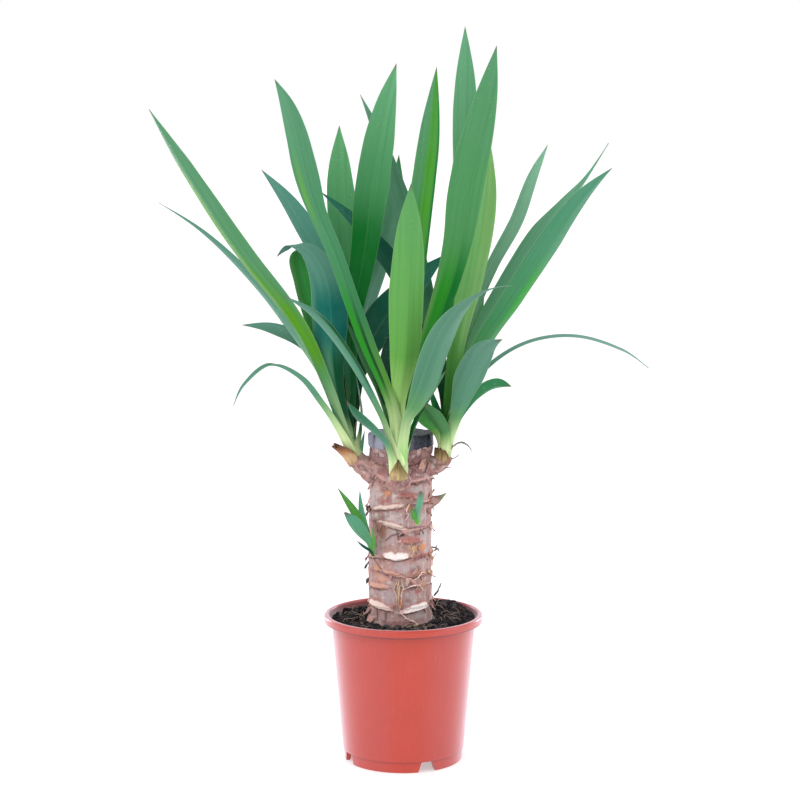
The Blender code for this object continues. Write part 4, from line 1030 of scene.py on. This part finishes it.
headFront = {
    "base": (-4, -38, 261.4), "lean": (0, -0.1, 1), "radius": 8.8, "shade": 0.1,
    "leaves": [
        (-160, (30, 30), 0, "tealEnd", [(-14, -57, 288, 8), (-24, -65, 302, 10), (-37, -72, 315, 12),
         (-48, -78, 330, 0)]),
        (-150, (20, 20), 0.2, "grey", [(-15, -60, 303, 10), (-28, -68, 334, 9), (-48, -78, 370, 12),
         (-73, -86, 402, 12), (-99, -92, 419, 0)], ("darkGreen", 0.65, 1.1, 0.44, 0.84)),
        (160, (-20, -20), 0.3, "fadeDark", [(-12, -38, 304, 13), (-20, -33, 332, 13), (-34, -26, 361, 13),
         (-49, -20, 391, 0)]),
        (-42, (-15, 10), 0.22, "blueGrey", [(3, -59, 307, 13), (11, -65, 323, 21), (18, -72, 340, 28),
         (28, -81, 372, 33), (43, -90, 402, 28), (68, -100, 424, 7), (92, -112, 429, 0)],
         ("sheathGreen", -0.7, 1.1, -0.2, 0.12)),
        (-108, (10, 10), 0.12, "limeDeep", [(-6, -54, 300, 15), (-9, -56, 318, 12), (-16, -56, 340, 12),
         (-29, -58, 371, 14), (-43, -61, 410, 14), (-58, -61, 453, 14), (-72, -60, 486, 16), (-81, -59, 516, 22),
         (-89, -57, 550, 19), (-97, -55.5, 575, 12.5), (-107.5, -54, 597, 0)],
         ("limeFaint", -0.75, -0.35, 0.66, 0.78), ("bright", -1.1, -0.1, 0.2, 0.46),
         ("darkGreen", -0.1, 0.25, 0.2, 0.42), ("sheath", -1.1, 1.1, -0.2, 0.12)),
        (-80, (0, 0), 0.5, "fresh", [(-2, -45, 310, 8), (-3, -52, 328, 13), (1, -65, 369, 27), (3, -73, 421, 31),
         (5, -76, 471, 23), (6, -78, 511, 0)]),
        (95, (0, 0), 0.85, "mid", [(6, -44, 331, 15), (24, -41, 385, 18), (43, -37, 448, 25), (54, -31, 513, 32),
         (69, -23, 578, 21), (79, -18, 626, 0)], ("emerald", -1.1, -0.35, 0.2, 0.5),
         ("bright", -0.35, 0.6, 0.2, 0.47), ("limeFaint", 0.7, 1.1, 0.12, 0.42)),
        (120, (0, 0), 0.6, "shadow", [(-11, -32, 315, 16), (-13, -27, 345, 22), (-8, -22, 374, 20),
         (3, -18, 400, 0)]),
        (30, (0, 0), 0.3, "deepLow", [(8, -34, 298, 9), (17, -31, 318, 11), (28, -29, 337, 9),
         (37, -27, 350, 0)]),
        (75, (0, 0), 0.95, "mid", [(-1, -41, 339, 14), (7, -38, 399, 16), (13, -35, 474, 22), (22, -29, 548, 19),
         (28, -24, 608, 0)], ("olive", -0.8, 0.15, 0.5, 1.1), ("emerald", -1.1, -0.8, 0.4, 1.1)),
    ],
}
headRight = {
    "base": (35, -7, 272.2), "lean": (0.17, 0, 1), "radius": 7.2, "shade": 1.2,
    "leaves": [
        (20, (-40, -40), 0.05, "deep", [(48, 5, 299, 13), (55, 10, 311, 18), (66, 17, 323, 25), (81, 23, 331, 19),
         (96, 28, 329, 0)]),
        (-110, (0, 20), 0.05, "greyDeep", [(36, -19, 290, 11), (32, -26, 302, 13), (25, -32, 313, 12),
         (16, -38, 322, 0)]),
        (15, (20, 20), 0.1, "silver", [(56, 18, 317, 10), (75, 30, 346, 7), (111, 42, 367, 6), (153, 46, 372, 7),
         (195, 44, 360, 7), (219, 40, 344, 0)]),
        (-140, (65, 65), 0.15, "brightLow", [(30, -15, 296, 14), (22, -18, 308, 19), (12, -20, 317, 14),
         (1, -20, 325, 0)]),
        (-80, (0, 0), 0.25, "blueGrey", [(45, -23, 307, 12), (50, -30, 325, 19), (58, -37, 348, 28),
         (69, -44, 369, 21), (84, -50, 379, 0)]),
        (150, (0, 0), 0.3, "deep", [(33, -5, 300, 12), (27, -4, 316, 12), (21, -6, 339, 0)]),
        (-60, (5, 5), 0.5, "greyGreen", [(52, -7, 324, 16), (67, -9, 366, 21), (95, -11, 410, 27),
         (123, -13, 454, 29), (152, -13, 496, 19), (179, -14, 523, 0)], ("leafMid", 0, 1.1, 0.42, 0.62)),
        (-10, (-30, -30), 0.6, "paleMid", [(48, 10, 324, 18), (64, 14, 369, 26), (92, 19, 416, 34),
         (121, 21, 462, 36), (143, 21, 492, 18), (160, 21, 514, 6), (179, 22, 544, 0)]),
        (25, (35, 35), 0.55, "silverPale", [(45, 18, 334, 13), (57, 31, 382, 11), (79, 46, 434, 13),
         (101, 55, 474, 14), (115, 60, 512, 11), (129, 66, 542, 0)]),
        (150, (-30, -30), 0.6, "darkTeal", [(35, 14, 317, 14), (24, 30, 363, 18), (1, 45, 419, 24),
         (-37, 44, 468, 16), (-74, 46, 501, 0)]),
        (120, (-10, -10), 0.75, "deepGrey", [(36, 10, 318, 13), (28, 24, 368, 17), (14, 44, 427, 21),
         (-1, 46, 486, 20), (-20, 40, 544, 11), (-38, 34, 586, 0)]),
        (60, (15, 15), 0.8, "lightRib", [(42, 3, 327, 14), (48, 4, 376, 18), (61, 6, 436, 25), (70, 8, 497, 24),
         (73, 10, 554, 0)], ("paleRib", -1.1, -0.1, 0.3, 0.95)),
        (95, (0, 0), 0.95, "midLight", [(43, 12, 329, 14), (48, 19, 388, 17), (53, 28, 456, 21),
         (54, 34, 525, 23), (54, 40, 594, 19), (54, 44, 645, 0)]),
        (75, (0, 0), 0.2, "mid", [(46, 26, 315, 15), (58, 66, 371, 24), (66, 96, 423, 20), (72, 112, 465, 0)]),
    ],
}


# One leaf as a closed thin shell. At the head its cross section is an arc that clasps the
# stem, then it opens into two halves that meet at the rib, with edges lifted towards the
# inner face. Its thickness falls from rib to edge, and it ends in a point.
def leafShell(head, leaf, form):
    azimuth, twist, rank, look, course, *stripes = leaf
    out = around(1, np.radians(azimuth), 0)
    axis = unit(np.array(head["lean"]))
    start = head["base"] + axis * (form["low"] + form["climb"] * rank)
    start = start + out * head["radius"] * (form["spread"] - form["narrowing"] * rank)
    knots = [np.append(start, form["rootWidth"] * head["radius"]), *course]
    shares = (1 - (1 - np.linspace(0, 1, form["rows"])) ** 1.25)[:-1] * 0.999
    line, along, length = smoothLine(knots, shares, axis)
    half = np.maximum(line[:, 3:], 0.5) / 2
    across = np.array([-out[1], out[0], 0])
    across = unit(across - (along @ across)[:, None] * along)
    inward = np.cross(along, across)
    turn = np.radians(np.interp(shares, [0, 0.1, 0.4, 1], [0, 0, *twist]))[:, None]
    side = across * np.cos(turn) + inward * np.sin(turn)
    face = inward * np.cos(turn) - across * np.sin(turn)
    shares = shares[:, None]
    fold = form["fold"] + form["foldLow"] * (1 - shares) + form["foldRoot"] * hump(shares, form["foldReach"])
    fold = np.radians(fold)
    run = shares * length
    s = np.sin(np.linspace(-np.pi / 2, np.pi / 2, form["columns"]))
    seed = azimuth + 400 * rank
    ripple = 1 + form["ripple"] * noise(stacked(run / 22, seed + np.sign(s), 0), 1)
    clasp = hump(run, form["sheath"])
    bend = form["clasp"] * np.maximum(clasp, form["endClasp"])
    lift = half * np.sin(fold) * (np.abs(s) ** form["dish"] - 0.5) * (1 - clasp)
    lift = lift + clasp * half / bend * (1 - np.cos(s * bend))
    flat = half * ripple * (np.cos(fold) * s * (1 - clasp) + clasp * np.sin(s * bend) / bend)
    thick = form["edge"] + (1 - form["edge"]) * (1 - np.abs(s) ** 1.5)
    thick = form["thickness"] * thick * (1.2 - 0.5 * shares) / 2
    rib = form["rib"] * form["thickness"] * hump(s, form["ribHalf"]) * (1 - shares)
    middle = line[:, None, :3] + side[:, None] * flat[..., None]
    upper, lower = (middle + face[:, None] * off[..., None] for off in (lift + thick, lift - thick - rib))
    points, faces = sheetShell(upper, lower, course[-1][:3])
    acrossShare = np.tile(np.append(s, s[::-1]), (len(run), 1))
    runAway = run + 0 * acrossShare
    tint = leafTint(look, runAway, length, acrossShare, stripes, form, rank, head.get("shade", 0))
    fields = {   # each over the blade, then at its root and at its tip
        "acrossShare": (acrossShare, 0, 0), "acrossAway": (acrossShare * half, 0, 0),
        "runAway": (runAway, 0, length), "tipAway": (length - runAway, length, 0),
        "leafSeed": (0 * runAway + seed * 0.37, seed * 0.37, seed * 0.37),
    }
    values = {label: np.append(blade, ends) for label, (blade, *ends) in fields.items()}
    values["leafTint"] = np.vstack([tint.reshape(-1, 3), tint[0, 0], tint[-1, -1]])
    return points, faces, values


def band(value, low, high, softLow, softHigh):   # 1 from low to high, with soft borders
    rise = smoothStep(low - softLow, low + softLow, value)
    return rise * (1 - smoothStep(high - softHigh, high + softHigh, value))


# Colour along the blade: pale at the sheath, then the paint's low, middle and high colours. On leaves further in,
# the sheath's pale is darkened towards the low colour as painted shade, by the head's shade times the leaf's
# rank.
# A stripe is (paint, from and to across, from and to along) with soft borders.
def leafTint(look, run, length, across, stripes, form, rank, shade):
    low, mid, high = (paint(*colour) for colour in leafPaint[look])
    pale = form["pale"] * min(1, length / 260) * (1.1 - 0.6 * rank)
    places = [pale, pale * 3.2, max(pale * 3.4, 0.4 * length), 0.72 * length, length]
    # painted shade: on inner leaves the pale root gives way to the low colour
    root = mixTo(leafBase, low, min(1, shade * rank))
    tint = readRows(run, places, [root, low, mid, (high + mid) / 2, high])
    for tone, left, right, first, last in stripes:
        share = band(across, left, right, 0.12, 0.12) * band(run / length, first, last, 0.06, 0.08)
        tint = mixTo(tint, paint(*leafStripe[tone]), share)
    return tint


def leafMaterial():
    leaf = Surface("yuccaLeaf", 0.45, 0.1)
    run, tipAway = leaf.read("runAway"), leaf.read("tipAway")
    streaks = leaf.node("ShaderNodeCombineXYZ", leaf.read("acrossAway"), leaf.math("MULTIPLY", run, 0.012),
                        leaf.read("leafSeed")).outputs[0]
    broad, fine = leaf.noise(0.4, vector=streaks), leaf.noise(2.6, 2, vector=streaks)
    edge = leaf.math("ABSOLUTE", leaf.read("acrossShare"))
    colour = leaf.layers(
        leaf.read("leafTint", "Color"),
        (broad, 0.42, 0.7, 0, 0.2, (0.004, 0.09, 0.022)), (fine, 0.52, 0.74, 0, 0.07, (0.22, 0.44, 0.16)),
        (leaf.noise(0.03), 0.48, 0.72, 0, 0.1, (0.12, 0.27, 0.2)),
        (edge, 0.955, 0.99, 0, 0.28, (0.36, 0.52, 0.26)), (edge, 0, 0.045, 0.14, 0, (0.24, 0.44, 0.18)),
    )
    specks = leaf.spread(leaf.noise(0.9, 2, 0.5), 0.715, 0.74, 0, 0.7)
    specks = leaf.math("MULTIPLY", leaf.spread(tipAway, 40, 110, 1, 0), specks)
    colour = leaf.mix(specks, colour, (0.55, 0.68, 0.6))
    colour = leaf.layers(colour, (tipAway, 0.5, 7, 0.85, 0, (0.12, 0.09, 0.06)))
    leaf.put(leaf.shader["Roughness"], leaf.spread(broad, 0.3, 0.7, 0.4, 0.57))
    return leaf.done(colour, fine, 0.25, 0.0002)


# The young leaves still rolled up in the middle of a head, as one tapering rod along its axis, brown at its foot,
# pale low down and deep green higher up as painted shade inside the head
def headCore(head):
    axis, base = unit(np.array(head["lean"])), np.array(head["base"])
    knots = [np.append(base + axis * up, head["radius"] * share)
             for up, share in ((-2, 0.9), (7, 0.92), (20, 0.78), (34, 0.5), (48, 0.1))]
    points, faces = rodShell(knots, 30, 40)
    up = (points - base) @ axis
    away = (points - base - up[:, None] * axis)[:, 0]
    # painted shade: deep green higher up, as the shade inside the head
    tint = mixTo(leafBase * 0.8, paint(34, 100, 52), smoothStep(5, 24, up))
    tint = mixTo(tint, paint(150, 112, 84), 1 - smoothStep(-2, 3, up))
    return points, faces, {
        "acrossShare": 0 * up + 0.5, "acrossAway": away, "runAway": up, "tipAway": 0 * up + 200,
        "leafSeed": 0 * up + 2, "leafTint": tint,
    }


def makeLeaves(name, head, node, form=leafForm, slot="leaf"):
    shells = [leafShell(head, leaf, form) for leaf in head["leaves"]]
    for base, radius, leaf in head.get("small", []):
        shells.append(leafShell(dict(head, base=base, radius=radius), leaf, form))
    if slot == "leaf":
        shells.append(headCore(head))
    makePiece(name, shells, leafSurface, node)


leafSurface = leafMaterial()
makeLeaves("leavesLeft", headLeft, "head_left")
makeLeaves("leavesFront", headFront, "head_front")
makeLeaves("leavesRight", headRight, "head_right")
print("leaves made")


# Shoots: two young ones on the cane, each set out from the cane's middle by its seat

shootForm = dict(
    leafForm, climb=6, spread=0.75, narrowing=0.4, rootWidth=2.6, clasp=1.1, sheath=7, thickness=0.9,
    rows=40, columns=11, pale=1.5, ripple=0.01,
)
shootLeft = {
    "base": (-24.5, -18, 185), "seat": 1.4, "lean": (-0.35, -0.45, 0.9), "radius": 2.2,
    "leaves": [
        (-150, (30, 30), 0.1, "darkTeal", [(-29, -25, 191, 4), (-35, -28, 196, 4), (-41, -31, 202, 0)]),
        (-130, (10, 10), 0.3, "shootBlue", [(-29, -27, 197, 9), (-37, -32, 209, 16), (-44, -36, 220, 15),
         (-51, -38, 228, 2)]),
        (160, (-20, -20), 0.5, "shootGreen", [(-33, -22, 205, 7), (-40, -27, 221, 11), (-48, -29, 234, 8),
         (-57, -30, 248, 0)]),
        (60, (0, 0), 0.8, "shootBlue", [(-30, -20, 203, 5), (-35, -17, 219, 7), (-37, -17, 230, 5),
         (-38, -17, 244, 0)]),
        (-20, (0, 0), 0.6, "shootGreen", [(-25, -28, 198, 5), (-26, -31, 207, 5), (-26, -33, 217, 0)]),
    ],
}
shootRight = {
    "base": (11.5, -26, 214), "seat": 2, "lean": (0.05, -0.5, 0.9), "radius": 2.2,
    "leaves": [
        (-70, (0, 0), 0.4, "shootTeal", [(11.5, -32, 223, 7), (14, -35, 234, 7), (15, -36, 241, 6),
         (15, -36, 246, 2)]),
        (-150, (20, 20), 0.3, "shootGreen", [(9, -32, 221, 5), (8, -35, 227, 5), (7, -36, 233, 0)]),
    ],
}


def seatedShoot(shoot):
    base = np.array(shoot["base"])
    outward = unit((base - [cane["x"], 0, 0]) * [1, 1, 0])
    return dict(shoot, base=base + outward * shoot["seat"])


makeLeaves("shootLeaves", seatedShoot(shootLeft), "shoot_left", shootForm, "young_leaf")
makeLeaves("shootBlades", seatedShoot(shootRight), "shoot_right", shootForm, "young_leaf")
print("shoots made")


# Dry scales round the heads' bases: azimuth, then lists along the scale from its root to its
# end of height on the head's axis, distance from it and half the turn round it in degrees
scales = {
    "left": {
        "azimuth": 196, "heights": (-6, -1, 4.5, 10.5, 16), "radii": (7.4, 8.8, 9.6, 12, 16),
        "turns": (46, 84, 86, 66, 40), "crumple": 1.1, "seed": 5, "green": 0,
        "tones": ("mauve", "tan", "tan", "orange", "rust"),
    },
    "front": {
        "azimuth": -92, "heights": (-4.6, -2.2, 2, 7.5, 14.5), "radii": (9, 10, 10.4, 10.4, 10.2),
        "turns": (18, 50, 46, 24, 2), "crumple": 0.6, "seed": 9, "green": 0.6,
        "tones": ("mauve", "straw", "straw", "olive", "moss"),
    },
    "right": {
        "azimuth": -132, "heights": (-8.5, -6, -1.5, 3, 6.5), "radii": (5, 7, 7.8, 8, 8.7),
        "turns": (30, 80, 76, 64, 46), "crumple": 1, "seed": 14, "green": 0.2,
        "tones": ("mauve", "mauve", "tan", "olive", "brown"),
    },
    "rows": 48, "columns": 40, "thickness": 0.45,
}
scaleTones = paints(
    brown=(112, 84, 68), tan=(196, 162, 122), orange=(178, 116, 74), rust=(116, 70, 48),
    straw=(190, 166, 118), olive=(134, 114, 70), moss=(104, 98, 54), mauve=(150, 112, 104),
)


# A curved sheet on two parameters, round the head and along it, read between the lists' values,
# with lengthwise ridges and a crumpled free end
def scaleShell(head, scale):
    axis = unit(np.array(head["lean"]))
    across = unit(np.cross(axis, around(1, np.radians(scale["azimuth"]), 0)))
    out = np.cross(across, axis)
    along = np.linspace(0, 1, scales["rows"])[:, None]
    s = np.linspace(-1, 1, scales["columns"])
    stops = np.linspace(0, 1, 5)
    height, radius, turn = (np.interp(along, stops, scale[key]) for key in ("heights", "radii", "turns"))
    ragged = noise(stacked(s * 4, 0 * along, scale["seed"]), 1)
    height = height + 1.6 * scale["crumple"] * ragged * smoothStep(0.5, 1, along)
    theta = np.radians(turn) * s
    grain = stacked(s * 7, along * 1.5, scale["seed"])
    radius = radius + scale["crumple"] * noise(grain, 1, 5) * (0.3 + along)
    radius = radius + 0.2 * noise(grain * [2.5, 1, 1], 1, 7)
    ring = out * np.cos(theta)[..., None] + across * np.sin(theta)[..., None]
    middle = np.array(head["base"]) + axis * height[..., None]
    outer, inner = (middle + ring * (radius + side * scales["thickness"])[..., None] for side in (1, -1))
    points, faces = sheetShell(outer, inner)
    tint = readRows(along + 0 * s, stops, [scaleTones[tone] for tone in scale["tones"]])
    for tone, share in (
        ("moss", scale["green"] * smoothStep(-0.05, 0.2, s) * smoothStep(0.15, 0.5, along)),
        ("brown", 0.6 * smoothStep(-0.1, 0.6, roughNoise(grain * [1, 2, 1], 1, 3, 9))),
        ("rust", 0.7 * smoothStep(0.8, 0.98, np.abs(s)) * smoothStep(0.3, 0.6, along)),
    ):
        tint = mixTo(tint, scaleTones[tone], share)
    tint = np.concatenate([tint, tint[:, ::-1]], 1).reshape(-1, 3)
    return points, faces, {"scaleTint": np.vstack([tint, tint[:1], tint[-1:]])}


def scaleMaterial():
    dry = Surface("dryScale", 0.62, 0.25)
    fibre = dry.noise(0.8, 4, 0.6, 0.25)
    colour = dry.layers(
        dry.read("scaleTint", "Color"), (fibre, 0.5, 0.74, 0, 0.3, scaleTones["brown"]),
        (fibre, 0.46, 0.26, 0, 0.35, scaleTones["straw"]),
    )
    return dry.done(colour, fibre, 0.5, 0.0004)


scaleSurface = scaleMaterial()
for side, head in (("left", headLeft), ("front", headFront), ("right", headRight)):
    makePiece(side + "DryScale", [scaleShell(head, scales[side])], scaleSurface, "dry_scale_" + side)
print("dry scales made")


# Studio

studio = {
    "eye": (-0.003, -1.821, 0.5555), "pitch": 7.35, "lens": 94.5, "sensor": 36, "floor": (0.7, 0.7, 0.7),
    "floorReach": 30, "floorGlow": 0.42, "sunPower": 0.35, "sunWidth": 35, "sunTurn": (48, 0, -28),
    # softboxes: name, place, height they face on the axis, size, power, colour
    "lights": [
        ("leftLight", (-1.4, -0.5, 0.7), 0.3, (0.8, 1.4), 4, (1, 1, 1)),
        ("rightLight", (1.4, -0.3, 0.7), 0.3, (0.8, 1.4), 4, (1, 1, 1)),
        ("leftEdge", (-1.3, 1.5, 0.35), 0.2, (0.6, 1.3), 16, (0.92, 0.88, 1)),
        ("rightEdge", (1.3, 1.5, 0.35), 0.2, (0.6, 1.3), 16, (0.92, 0.88, 1)),
    ],
}


def makeStudio():
    reach = studio["floorReach"]
    mesh = bpy.data.meshes.new("floor")
    corners = [(x * reach, y * reach, -0.0002) for x, y in ((-1, -1), (1, -1), (1, 1), (-1, 1))]
    mesh.from_pydata(corners, [], [(0, 1, 2, 3)])
    paleFloor = Surface("paleFloor", 0.9, 0.1)
    paleFloor.put(paleFloor.shader["Emission Color"], (1, 1, 1))
    paleFloor.put(paleFloor.shader["Emission Strength"], studio["floorGlow"])
    mesh.materials.append(paleFloor.done(studio["floor"]))
    addObject("floor", mesh)
    world = bpy.data.worlds.new("studioWorld")
    world.use_nodes = True
    world.node_tree.nodes["Background"].inputs["Color"].default_value = (1, 1, 1, 1)
    world.node_tree.nodes["Background"].inputs["Strength"].default_value = 1
    bpy.context.scene.world = world
    for name, where, faced, size, power, colour in studio["lights"]:
        light = bpy.data.lights.new(name, "AREA")
        light.shape, light.energy, light.color = "RECTANGLE", power, colour
        light.size, light.size_y = size
        away = Vector((0, 0, faced)) - Vector(where)
        addObject(name, light, where, away.to_track_quat("-Z", "Y").to_euler())
    sun = bpy.data.lights.new("softSun", "SUN")
    sun.energy, sun.angle = studio["sunPower"], np.radians(studio["sunWidth"])
    addObject("softSun", sun, turned=np.radians(studio["sunTurn"]))
    camera = bpy.data.cameras.new("photoCamera")
    camera.lens, camera.sensor_width = studio["lens"], studio["sensor"]
    turned = (np.radians(90 - studio["pitch"]), 0, 0)
    bpy.context.scene.camera = addObject("photoCamera", camera, studio["eye"], turned)
    bpy.context.scene.view_settings.view_transform = "Standard"


makeStudio()
print("studio made")
